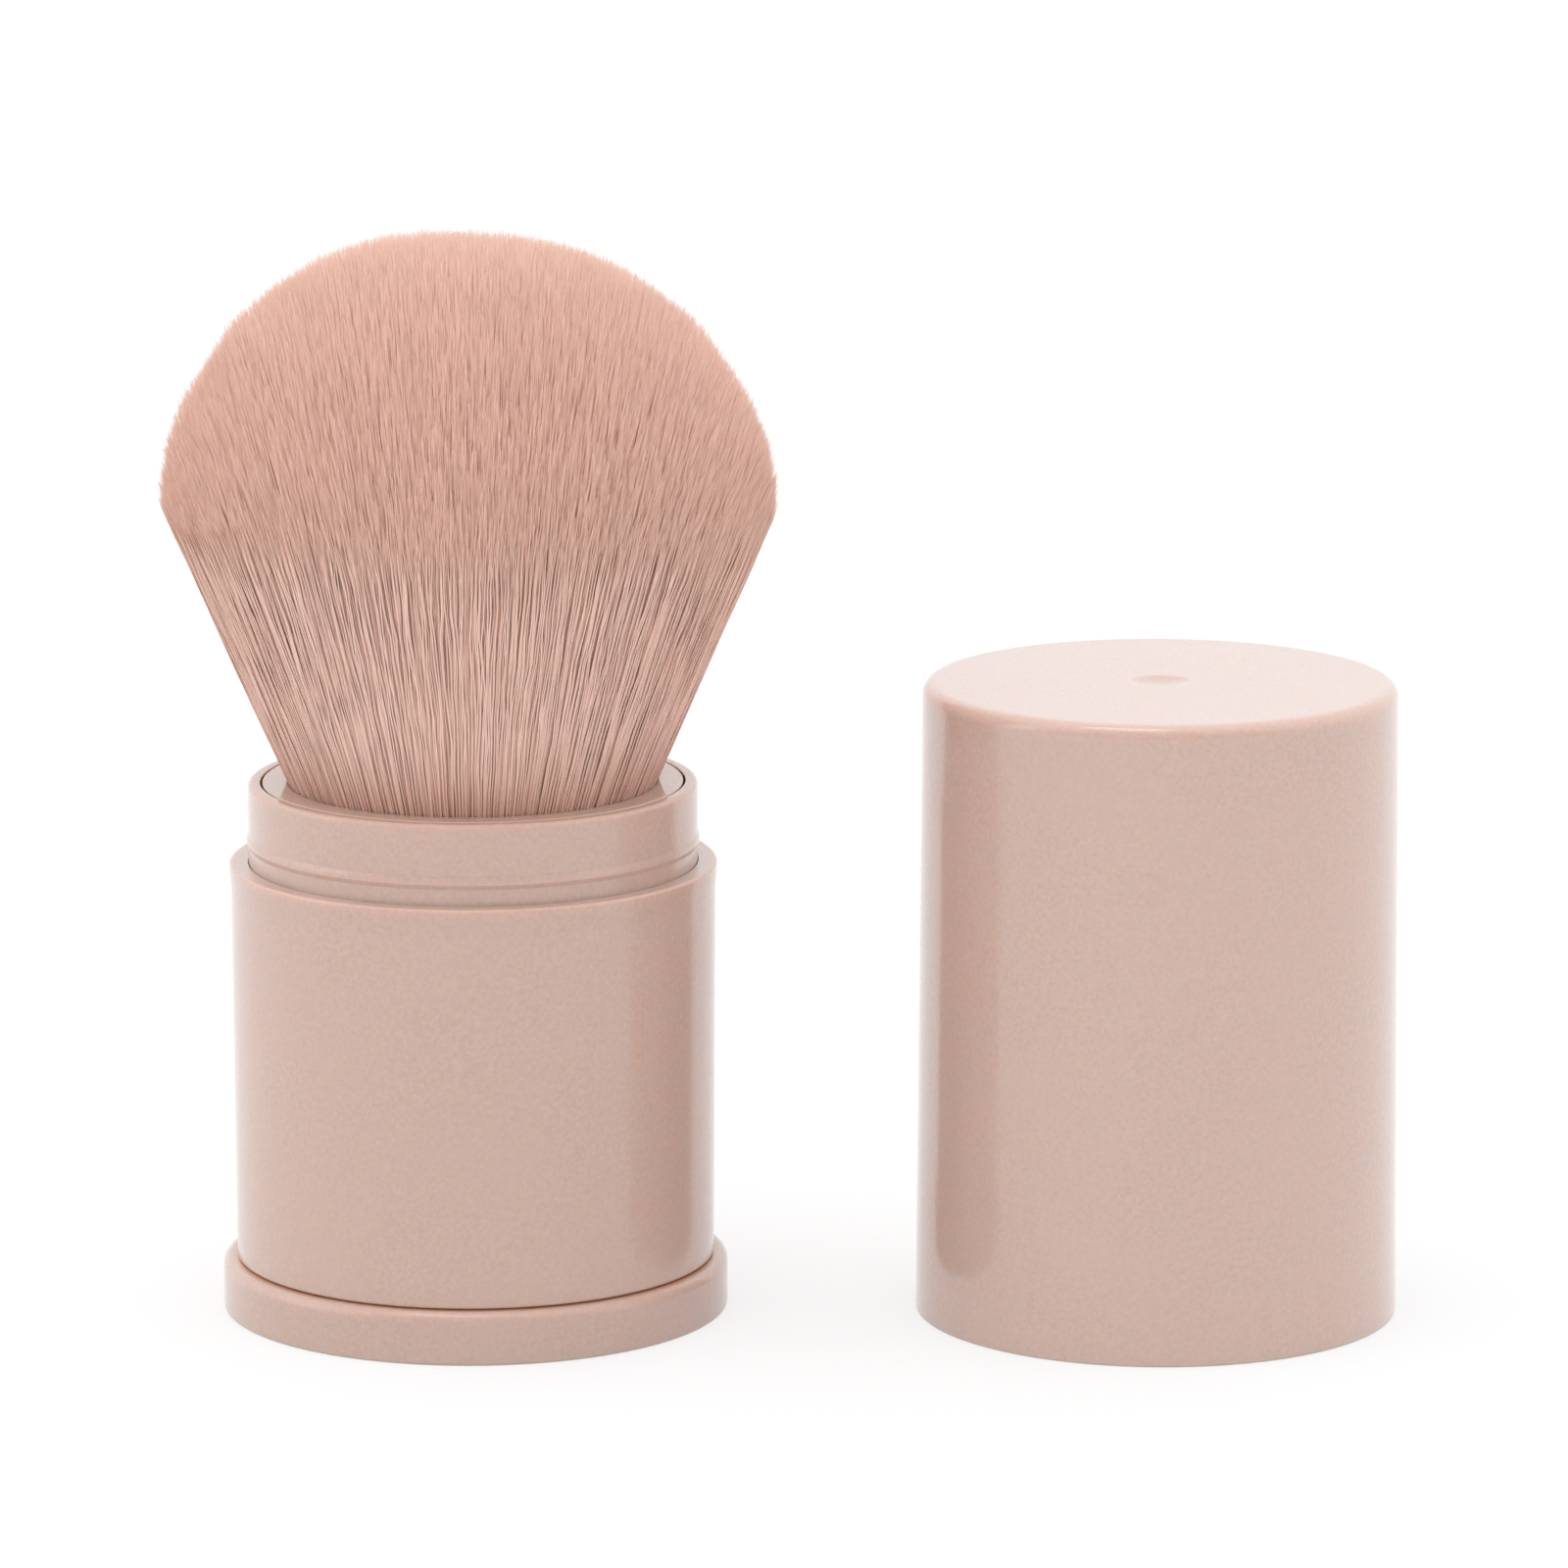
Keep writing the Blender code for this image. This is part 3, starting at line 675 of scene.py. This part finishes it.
def fibre_paths(settings):
    """Points of every fibre, root first, with a tone and an angle round the axis for each."""
    draw = np.random.RandomState(settings.seed)
    count = settings.fibres
    apex = np.array((0, 0, APEX_HEIGHT))
    tips = spread_tips(count, draw)
    lock, lock_tips = gather(tips, settings.locks, draw)
    wisp, wisp_tips = gather(tips, settings.locks // LOCKS_PER_WISP, draw)
    # Locks part most where the dome turns down, and hardly at the crown.
    across = np.hypot(tips[:, 0], tips[:, 1]) / (tips[:, 2] - APEX_HEIGHT)
    parted = np.interp(across / RIM_SLOPE, *LOCK_SHARES)[:, None]
    tips += (lock_tips[lock] - tips) * parted
    tips += (wisp_tips[wisp] - tips) * parted * WISP_SHARE
    rays = tips - apex
    uneven = draw.normal(0, UNEVEN_SHARE, count)
    shorter = (draw.rand(count) > LONG_FIBRES_SHARE) * draw.rand(count) * SHORTER_SHARE
    ends = END_SHARE + uneven - shorter
    ends -= settings.lean * np.tanh(tips[:, 0] / LEAN_WIDTH)
    share = np.hypot(rays[:, 0], rays[:, 1]) / rays[:, 2] / RIM_SLOPE
    # Nothing leaves the cone that the ring's bore leaves room for.
    rays[:, :2] /= np.maximum(share / RIM_SPILL_SHARE, 1)[:, None]
    shell = share > SHELL_SHARE
    root = (ROOT_HEIGHT - APEX_HEIGHT) / rays[:, 2]
    start = np.where(shell, root, np.maximum(root, ends - INNER_LENGTH / rays[:, 2]))
    lock_chances = draw.rand(settings.locks, 6)
    fibre_chances = draw.rand(count, 4)
    tone = (draw.rand(settings.locks)[lock] + draw.rand(count)) / 2
    paths = []
    for index in range(count):
        places = np.linspace(0, 1, SHELL_POINTS if shell[index] else INNER_POINTS)
        places[-2] = 1 - (1 - places[-2]) * TIP_SHARE
        way = start[index] + (ends[index] - start[index]) * places
        line = apex + rays[index] * way[:, None]
        run = (way - root[index]) / (1 - root[index])
        flat = rays[index, :2]
        out = flat / max(math.hypot(*flat), NEARLY_ZERO)
        side = np.array((-out[1], out[0]))
        group, own = lock_chances[lock[index]], fibre_chances[index]
        sway = LOCK_SWAY * wave(group[:2], run, LOCK_TURNS)
        sway += FIBRE_SWAY * wave(own[:2], run, FIBRE_TURNS)
        sway += CRIMP_SWAY * wave(group[4:], run, CRIMP_TURNS)
        lean = LOCK_LEAN * wave(group[2:4], run, LOCK_LEAN_TURNS)
        lean += FIBRE_LEAN * wave(own[2:], run, FIBRE_LEAN_TURNS)
        # No wander at the root.
        fade = np.clip(run * WANDER_RATE, 0, 1)
        lean = (lean - INWARDS) * fade
        line[:, :2] += (sway * fade)[:, None] * side + lean[:, None] * out
        paths.append(line)
    angle = np.arctan2(rays[:, 1], rays[:, 0])
    return paths, tone, angle


def fibre_profile():
    """A three-sided outline, one metre in radius, with a flat side away from the head's axis."""
    curve = bpy.data.curves.new("fibre_outline", "CURVE")
    curve.dimensions = "2D"
    line = curve.splines.new("POLY")
    line.points.add(2)
    for index, point in enumerate(line.points):
        turn = math.tau * index / 3 + math.pi / 2
        point.co = (math.cos(turn), math.sin(turn), 0, 1)
    line.use_cyclic_u = True
    made = bpy.data.objects.new("fibre_outline", curve)
    bpy.context.scene.collection.objects.link(made)
    return made


def draw_fibres(paths, tones, outline, settings):
    """Mesh of some fibres, tapered to their tips, with the tone of each in an attribute."""
    curve = bpy.data.curves.new("fibres", "CURVE")
    curve.dimensions = "3D"
    curve.bevel_mode = "OBJECT"
    curve.bevel_object = outline
    for path in paths:
        line = curve.splines.new("POLY")
        line.points.add(len(path) - 1)
        line.points.foreach_set("co", np.pad(path, ((0, 0), (0, 1)), constant_values=1).ravel())
        radii = np.full(len(path), settings.fibre_radius)
        radii[-2] *= TAPER_SHARE
        radii[-1] = settings.tip_radius
        line.points.foreach_set("radius", radii)
    made = bpy.data.objects.new("fibres", curve)
    bpy.context.scene.collection.objects.link(made)
    depsgraph = bpy.context.evaluated_depsgraph_get()
    mesh = bpy.data.meshes.new_from_object(made.evaluated_get(depsgraph))
    bpy.data.objects.remove(made)
    values = np.repeat(tones, [len(path) * 3 for path in paths])
    if len(values) != len(mesh.vertices):
        raise RuntimeError("The fibres' mesh doesn't have three corners at each point")
    tone = mesh.attributes.new("fibre_tone", "FLOAT", "POINT")
    tone.data.foreach_set("value", values.astype(np.float32))
    return mesh


def core_wedge(angle, width):
    """The closed inside of one tuft, a little under the fibres' ends."""
    slope = RIM_SLOPE * CORE_SIDE_SHARE
    rim, crown = DOME_OUTLINE[0][0], DOME_OUTLINE[-1][0]
    heights = np.linspace(rim, crown, CORE_STEPS * 2) - CORE_DEPTH
    radii = np.minimum(
        dome_radius(heights + CORE_DEPTH) - CORE_DEPTH * CORE_IN_SHARE,
        (heights - APEX_HEIGHT) * slope,
    )
    points = [(0, ROOT_HEIGHT), ((ROOT_HEIGHT - APEX_HEIGHT) * slope, ROOT_HEIGHT)]
    points += [(max(radius, 0), height) for radius, height in zip(radii, heights)]
    points = points[:-1] + [(0, heights[-1])]
    shape = bmesh.new()
    begin = angle - width / 2
    verts = [
        shape.verts.new((radius * math.cos(begin), radius * math.sin(begin), height))
        for radius, height in points
    ]
    edges = [shape.edges.new(pair) for pair in zip(verts, verts[1:])]
    spun = bmesh.ops.spin(
        shape,
        geom=verts + edges,
        cent=(0, 0, 0),
        axis=(0, 0, 1),
        angle=width,
        steps=CORE_STEPS,
    )
    last = [item for item in spun["geom_last"] if isinstance(item, bmesh.types.BMVert)]
    shape.faces.new(verts)
    shape.faces.new(sorted(last, key=lambda vert: verts_order(vert, points)))
    bmesh.ops.remove_doubles(shape, verts=shape.verts[:], dist=MERGE_DISTANCE)
    bmesh.ops.dissolve_degenerate(shape, edges=shape.edges[:], dist=MERGE_DISTANCE)
    bmesh.ops.recalc_face_normals(shape, faces=shape.faces[:])
    return shape


def verts_order(vert, points):
    """Place of a spun corner in the outline that it came from."""
    radius = math.hypot(vert.co.x, vert.co.y)
    gaps = [math.hypot(radius - point[0], vert.co.z - point[1]) for point in points]
    return gaps.index(min(gaps))


def make_tufts(settings, look):
    """The head: wedges of fibres round the axis, each with its closed core."""
    paths, tones, angles = fibre_paths(settings)
    outline = fibre_profile()
    width = math.tau / settings.tufts
    places = np.floor((angles % math.tau) / width).astype(int) % settings.tufts
    for tuft in range(settings.tufts):
        members = np.flatnonzero(places == tuft)
        fibres = draw_fibres([paths[i] for i in members], tones[members], outline, settings)
        middle = (tuft + 0.5) * width
        core = bpy.data.meshes.new("core")
        wedge = core_wedge(middle, width)
        wedge.to_mesh(core)
        wedge.free()
        # A tone of -1 gives the core the painted shade colour for the depth among the fibres.
        tone = core.attributes.new("fibre_tone", "FLOAT", "POINT")
        tone.data.foreach_set("value", np.full(len(core.vertices), -1, np.float32))
        shape = bmesh.new()
        shape.from_mesh(fibres)
        open_ends = [edge for edge in shape.edges if edge.is_boundary]
        bmesh.ops.holes_fill(shape, edges=open_ends, sides=3)
        shape.from_mesh(core)
        made = new_object(f"bristle_tuft_{tuft + 1:02d}", shape)
        made.data.shade_smooth()
        settle(made, look, "carriage", "fibre", "bristles")
        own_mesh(made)
    bpy.data.objects.remove(outline)


# Stage

# Floor: how far it lies under the foot, its glow, and the glow's share of what is seen
FLOOR_DROP = 0.00002
FLOOR_GLOW = 1.18
FLOOR_GLOW_SHARE = 0.6
# Where the darker room that gloss sees on the camera's side starts and ends
DARK_ROOM = (-0.8, -0.25)
# Lamps: place, aim and diameter
OVERHEAD_LAMP = ((-0.1, -0.15, 1.0), (0.03, 0, 0.03), 0.5)
SIDE_LAMP = ((-1.1, -0.15, 0.35), (0, 0, 0.045), 0.7)
# The camera that the photograph's circular edges were fitted with
CAMERA_PLACE = (0.026995, -0.79921, 0.21085)
CAMERA_TILT = math.radians(78.365)
CAMERA_LENS = 215.907
CAMERA_SENSOR = 36.0
CAMERA_CLIP = (0.01, 50)


# Operators


class BRUSH_OT_make_barrel(Operator):
    """Turn the barrel and its collar, and cut the collar's helical grooves"""

    bl_idname = "brush.make_barrel"
    bl_label = "Make barrel and collar"

    def execute(self, context):
        sizes = context.scene.brush_barrel
        colours = context.scene.brush_colours
        foot = sizes.radius - sizes.draft
        bore = sizes.radius - sizes.wall
        press = bore - CLEARANCE + sizes.press_gap
        seat_bore = bore - sizes.seat_wall
        sleeve_seat = RING_HIGH.x + CLEARANCE
        groove = DRAG_HIGH.x + CLEARANCE
        bottom, ledge = BARREL_LOW.z, BARREL_HIGH.z + sizes.ledge_rise
        floor_top = WASHER_LOW.z - CLEARANCE
        seat_top = NECK_LOW.z - CLEARANCE
        groove_low = bottom + sizes.groove_wall
        groove_high = floor_top - sizes.groove_wall
        corners = [
            (sizes.radius + sizes.lip_out, ledge, sizes.ledge_round),
            (sizes.radius + sizes.lip_out, ledge - sizes.lip_height / 4, LIP_ROUND),
            (sizes.radius, ledge - sizes.lip_height, LIP_ROUND),
            (foot, bottom, sizes.foot_round),
            (sleeve_seat, bottom, BORE_ROUND),
            (sleeve_seat, groove_low, 0),
            (groove, groove_low, 0),
            (groove, groove_high, 0),
            (sleeve_seat, groove_high, 0),
            (sleeve_seat, floor_top, BORE_ROUND),
            (seat_bore, floor_top, 0),
            (seat_bore, seat_top, 0),
            (press, seat_top, 0),
            (press, ledge, PRESS_ROUND),
        ]
        barrel = smooth(new_object("barrel", turned(corners)))
        # Painted shade: the barrel's foot, inside its radius, is tinted warmer and darker for the
        # gap above the base.
        joint = (sizes.radius, 0, BARREL_LOW.z + SHADE_ABOVE_GAP)
        gloss = moulded_gloss("rose_gloss_barrel", colours.rose, 0.16, coat=0.45, joint=joint)
        settle(barrel, gloss, "barrel", "rose_gloss", "barrel_shell")
        make_collar(sizes, moulded_gloss("rose_collar", colours.collar, 0.17, coat=0.42))
        return {"FINISHED"}


def groove_tool(sizes, radius, bore):
    """Two helical bars, half a turn apart, that cut the lugs' paths."""
    joints = {joint["name"]: joint for joint in frame["joints"]}
    travel = -joints["brush_slide"]["range_m"][0]
    turns = -joints["base_twist"]["range_deg"][0] / 360
    lead = travel / turns
    floor = radius - sizes.groove_skin
    half = sizes.groove_half / math.cos(math.atan2(lead, math.tau * floor))
    lug_high = CARRIER_LOW.z + LUG_RISE
    low_end = NECK_LOW.z - BAR_REACH
    begin = -math.tau * (lug_high + half - low_end) / lead
    finish = sizes.groove_half / floor
    steps = round(TURN_STEPS * (finish - begin) / math.tau)
    inner = bore - BAR_REACH
    middle = lug_high + lead * begin / math.tau
    low, high = middle - half, middle + half
    shape = bmesh.new()
    for side in (0, math.pi):
        corners = [(inner, low), (floor, low), (floor, high), (inner, high)]
        turn = Matrix.Rotation(side + begin, 3, "Z")
        verts = [shape.verts.new(turn @ Vector((x, 0, z))) for x, z in corners]
        edges = [shape.edges.new((verts[index - 1], verts[index])) for index in range(4)]
        bmesh.ops.spin(
            shape,
            geom=verts + edges,
            cent=(0, 0, 0),
            axis=(0, 0, 1),
            dvec=(0, 0, lead * (finish - begin) / math.tau / steps),
            angle=finish - begin,
            steps=steps,
        )
    open_edges = [edge for edge in shape.edges if edge.is_boundary]
    bmesh.ops.holes_fill(shape, edges=open_edges, sides=4)
    bmesh.ops.recalc_face_normals(shape, faces=shape.faces[:])
    return new_object("groove_tool", shape)


def make_collar(sizes, look):
    """The collar above the ledge, with the snap bead and the lugs' grooves."""
    radius = sizes.radius - sizes.wall - CLEARANCE
    bore = radius - sizes.neck_wall
    bead = radius + sizes.bead_height
    bead_low = BARREL_HIGH.z + sizes.bead_start
    bead_high = bead_low + sizes.bead_width
    corners = [
        (radius, NECK_HIGH.z, sizes.neck_round),
        (radius, bead_high, sizes.bead_round),
        (bead, bead_high - sizes.bead_slope, sizes.bead_round),
        (bead, bead_low + sizes.bead_slope, sizes.bead_round),
        (radius, bead_low, sizes.bead_round),
        (radius, NECK_LOW.z, 0),
        (bore, NECK_LOW.z, 0),
        (bore, NECK_HIGH.z, COLLAR_BORE_ROUND),
    ]
    collar = new_object("collar", turned(corners))
    carve(collar, groove_tool(sizes, radius, bore))
    settle(smooth(collar), look, "barrel", "rose_collar", "neck_sleeve")


class BRUSH_OT_make_base(Operator):
    """Turn the base that the brush stands on, and the ring round the bristles"""

    bl_idname = "brush.make_base"
    bl_label = "Make base and ring"

    def execute(self, context):
        sizes = context.scene.brush_base
        colours = context.scene.brush_colours
        radius, top = KNOB_HIGH.x, BARREL_LOW.z - sizes.running_gap
        bore = radius - sizes.wall
        corners = [
            (0, 0, 0),
            (radius, 0, sizes.foot_round),
            (radius, top, sizes.rim_round),
            (bore, top, sizes.inner_round),
            (bore, sizes.floor, 0),
            (0, sizes.floor, 0),
        ]
        base = smooth(new_object("turning_base", turned(corners, closed=False)))
        # Painted shade: inside the base's cup, under the barrel, the colour turns to the warm,
        # darker gap shade.
        shade_low = sizes.floor + SHADE_ABOVE_FLOOR
        joint = (BARREL_HIGH.x - SHADE_BESIDE_GAP, shade_low, BARREL_LOW.z)
        # Painted shade: the base takes its darker colour for the weaker light near the floor.
        gloss = moulded_gloss("rose_gloss_base", colours.base, 0.18, coat=0.4, joint=joint)
        settle(base, gloss, "base", "rose_gloss", "base_knob")
        barrel = context.scene.brush_barrel
        outer = barrel.radius - barrel.wall - CLEARANCE - barrel.neck_wall - sizes.ring_edge_gap
        inner = (RING_HIGH.z - APEX_HEIGHT) * RIM_SLOPE + sizes.ring_gap
        corners = [
            (outer, RING_HIGH.z, sizes.ring_outer_round),
            (outer, RING_LOW.z, 0),
            (inner, RING_LOW.z, 0),
            (inner, RING_HIGH.z, sizes.ring_inner_round),
        ]
        ring = smooth(new_object("polished_ring", turned(corners)))
        gloss = moulded_gloss("ring_gloss", colours.ring, 0.14, coat=0.25)
        settle(ring, gloss, "base", "ring_gloss", "rim_ring")
        return {"FINISHED"}


class BRUSH_OT_make_head(Operator):
    """Grow the head of fine fibres"""

    bl_idname = "brush.make_head"
    bl_label = "Make bristle head"

    def execute(self, context):
        colours = context.scene.brush_colours
        low, high = ROOT_HEIGHT, DOME_OUTLINE[-1][0]
        look = fine_fibre("soft_fibre", colours, low + TINT_MARGIN, high - TINT_MARGIN)
        make_tufts(context.scene.brush_head, look)
        return {"FINISHED"}


class BRUSH_OT_make_cap(Operator):
    """Turn the cap and stand it beside the brush"""

    bl_idname = "brush.make_cap"
    bl_label = "Make cap"

    def execute(self, context):
        sizes = context.scene.brush_cap
        colours = context.scene.brush_colours
        barrel = context.scene.brush_barrel
        outer = (CAP_HIGH.x - CAP_LOW.x) / 2
        mouth = outer - sizes.wall
        top = mouth - sizes.draft
        height = CAP_HIGH.z
        snap = mouth + sizes.snap_depth
        snap_high = barrel.bead_start + barrel.bead_width
        corners = [
            (0, height - sizes.roof, 0),
            (top, height - sizes.roof, sizes.inner_round),
            (mouth, snap_high, 0),
            (snap, snap_high - sizes.snap_depth, 0),
            (snap, barrel.bead_start + sizes.snap_depth, 0),
            (mouth, barrel.bead_start, 0),
            (mouth, 0, 0),
            (outer, 0, sizes.mouth_round),
            (top + sizes.wall, height, sizes.top_round),
        ]
        # The gate mark is a dish.
        for step in range(DISH_STEPS + 1):
            share = 1 - step / DISH_STEPS
            low = height - sizes.dimple_depth * (1 - share**2)
            corners.append((sizes.dimple_radius * share, low, 0 if step else DISH_ROUND))
        shape = turned(corners, closed=False)
        place = (sizes.aside, -sizes.forward, 0)
        bmesh.ops.translate(shape, vec=place, verts=shape.verts[:])
        cap = smooth(new_object("cap", shape))
        # Painted light: the cap takes its lighter colour for the brighter light on it.
        gloss = moulded_gloss("rose_gloss_cap", colours.cap, 0.15, coat=0.65)
        settle(cap, gloss, "cap", "rose_gloss", "cap_shell")
        return {"FINISHED"}


class BRUSH_OT_finish_inner_pieces(Operator):
    """Give the mechanism's own pieces their materials"""

    bl_idname = "brush.finish_inner_pieces"
    bl_label = "Finish inner pieces"

    def execute(self, context):
        white = moulded_satin("white_plastic", (0.76, 0.73, 0.69), 0.45, grain_scale=1600)
        acetal = moulded_satin(
            "white_acetal", (0.84, 0.83, 0.8), 0.34, grain_scale=2400, subsurface=0.2
        )
        looks = {
            "base_insert": white,
            "brush_carrier": white,
            "slotted_sleeve": acetal,
            "glide_washer": acetal,
            "ferrule": rolled_aluminium("rolled_aluminium"),
            "knot_root": set_resin("set_resin"),
            "drag_ring": soft_silicone("soft_silicone"),
        }
        for node, look in looks.items():
            for slot in frame["nodes"][node].material_slots:
                slot.material = look
        return {"FINISHED"}


class BRUSH_OT_make_stage(Operator):
    """Set up the pale floor, the studio light and the camera"""

    bl_idname = "brush.make_stage"
    bl_label = "Make stage"

    def execute(self, context):
        sizes = context.scene.brush_stage
        make_floor(sizes)
        make_surroundings(sizes)
        add_lamp("overhead", *OVERHEAD_LAMP, sizes.overhead)
        add_lamp("side", *SIDE_LAMP, sizes.side)
        add_camera()
        context.scene.view_settings.view_transform = "Standard"
        return {"FINISHED"}


def make_floor(sizes):
    """A wide white floor that glows a little where it is seen and still takes the shadow."""
    shape = bmesh.new()
    bmesh.ops.create_grid(shape, x_segments=1, y_segments=1, size=sizes.floor_size / 2)
    bmesh.ops.translate(shape, vec=(0, 0, -FLOOR_DROP), verts=shape.verts[:])
    floor = new_object("floor", shape)
    look = Finish("pale_floor")
    look.tree.nodes.remove(look.shader)
    paper = look.add("ShaderNodeBsdfDiffuse", {0: paint(WHITE[:3], sizes.floor_white)})
    glow = look.add("ShaderNodeEmission", {0: WHITE, 1: FLOOR_GLOW})
    path = look.add("ShaderNodeLightPath").outputs
    seen = look.maths("MAXIMUM", path["Is Camera Ray"], path["Is Glossy Ray"])
    seen = look.maths("MAXIMUM", seen, path["Is Transmission Ray"])
    share = look.maths("MULTIPLY", seen, FLOOR_GLOW_SHARE)
    mix = look.add("ShaderNodeMixShader", {0: share, 1: paper.outputs[0], 2: glow.outputs[0]})
    look.tree.links.new(mix.outputs[0], look.tree.nodes["Material Output"].inputs[0])
    floor.data.materials.append(look.material)


def make_surroundings(sizes):
    """White all round for the camera; gloss sees a darker room on the camera's side."""
    world = bpy.data.worlds.new("studio")
    world.use_nodes = True
    bpy.context.scene.world = world
    world.node_tree.nodes.clear()
    add = partial(add_node, world.node_tree)
    path = add("ShaderNodeLightPath").outputs
    place = add("ShaderNodeTexCoord").outputs["Generated"]
    depth = add("ShaderNodeSeparateXYZ", {0: place}).outputs[1]
    inputs = {0: depth, 1: DARK_ROOM[0], 2: DARK_ROOM[1], 3: sizes.front_gloss, 4: 1}
    room = add("ShaderNodeMapRange", inputs, interpolation_type="SMOOTHSTEP").outputs[0]
    seen = add("ShaderNodeBackground", {0: WHITE, 1: 1}).outputs[0]
    gloss = add("ShaderNodeBackground", {0: WHITE, 1: room}).outputs[0]
    light = add("ShaderNodeBackground", {0: WHITE, 1: sizes.dome}).outputs[0]
    inputs = {0: path["Is Glossy Ray"], 1: path["Is Transmission Ray"]}
    shiny = add("ShaderNodeMath", inputs, operation="MAXIMUM").outputs[0]
    lit = add("ShaderNodeMixShader", {0: shiny, 1: light, 2: gloss}).outputs[0]
    whole = add("ShaderNodeMixShader", {0: path["Is Camera Ray"], 1: lit, 2: seen}).outputs[0]
    add("ShaderNodeOutputWorld", {0: whole})


def add_lamp(name, place, target, size, power):
    """A round lamp that points at a target."""
    light = bpy.data.lights.new(name, "AREA")
    light.shape = "DISK"
    light.size = size
    light.energy = power
    lamp = bpy.data.objects.new(name, light)
    lamp.location = place
    lamp.rotation_euler = (Vector(target) - Vector(place)).to_track_quat("-Z", "Y").to_euler()
    bpy.context.scene.collection.objects.link(lamp)


def add_camera():
    data = bpy.data.cameras.new("camera")
    data.lens = CAMERA_LENS
    data.sensor_width = CAMERA_SENSOR
    data.clip_start, data.clip_end = CAMERA_CLIP
    camera = bpy.data.objects.new("camera", data)
    camera.location = CAMERA_PLACE
    camera.rotation_euler = (CAMERA_TILT, 0, 0)
    bpy.context.scene.collection.objects.link(camera)
    bpy.context.scene.camera = camera


class BRUSH_PT_panel(Panel):
    """Lists the steps that build the brush's looks"""

    bl_label = "Makeup Brush"
    bl_space_type = "VIEW_3D"
    bl_region_type = "UI"
    bl_category = "Brush"

    def draw(self, context):
        layout = self.layout
        for operator, settings in STEPS:
            layout.operator(operator.bl_idname)
            if settings:
                group = getattr(context.scene, settings)
                for name in group.__annotations__:
                    layout.prop(group, name)


STEPS = (
    (BRUSH_OT_make_barrel, "brush_barrel"),
    (BRUSH_OT_make_base, "brush_base"),
    (BRUSH_OT_make_head, "brush_head"),
    (BRUSH_OT_make_cap, "brush_cap"),
    (BRUSH_OT_finish_inner_pieces, "brush_colours"),
    (BRUSH_OT_make_stage, "brush_stage"),
)
SETTINGS = {
    "brush_barrel": BarrelSettings,
    "brush_base": BaseSettings,
    "brush_head": HeadSettings,
    "brush_cap": CapSettings,
    "brush_colours": ColourSettings,
    "brush_stage": StageSettings,
}
CLASSES = (*SETTINGS.values(), *(operator for operator, _ in STEPS), BRUSH_PT_panel)


def register():
    for item in CLASSES:
        bpy.utils.register_class(item)
    for name, group in SETTINGS.items():
        setattr(bpy.types.Scene, name, PointerProperty(type=group))


def unregister():
    for name in SETTINGS:
        delattr(bpy.types.Scene, name)
    for item in reversed(CLASSES):
        bpy.utils.unregister_class(item)


def main():
    register()
    bpy.ops.brush.make_stage()
    bpy.ops.brush.make_barrel()
    bpy.ops.brush.make_base()
    bpy.ops.brush.make_head()
    bpy.ops.brush.make_cap()
    bpy.ops.brush.finish_inner_pieces()


if __name__ == "__main__":
    main()
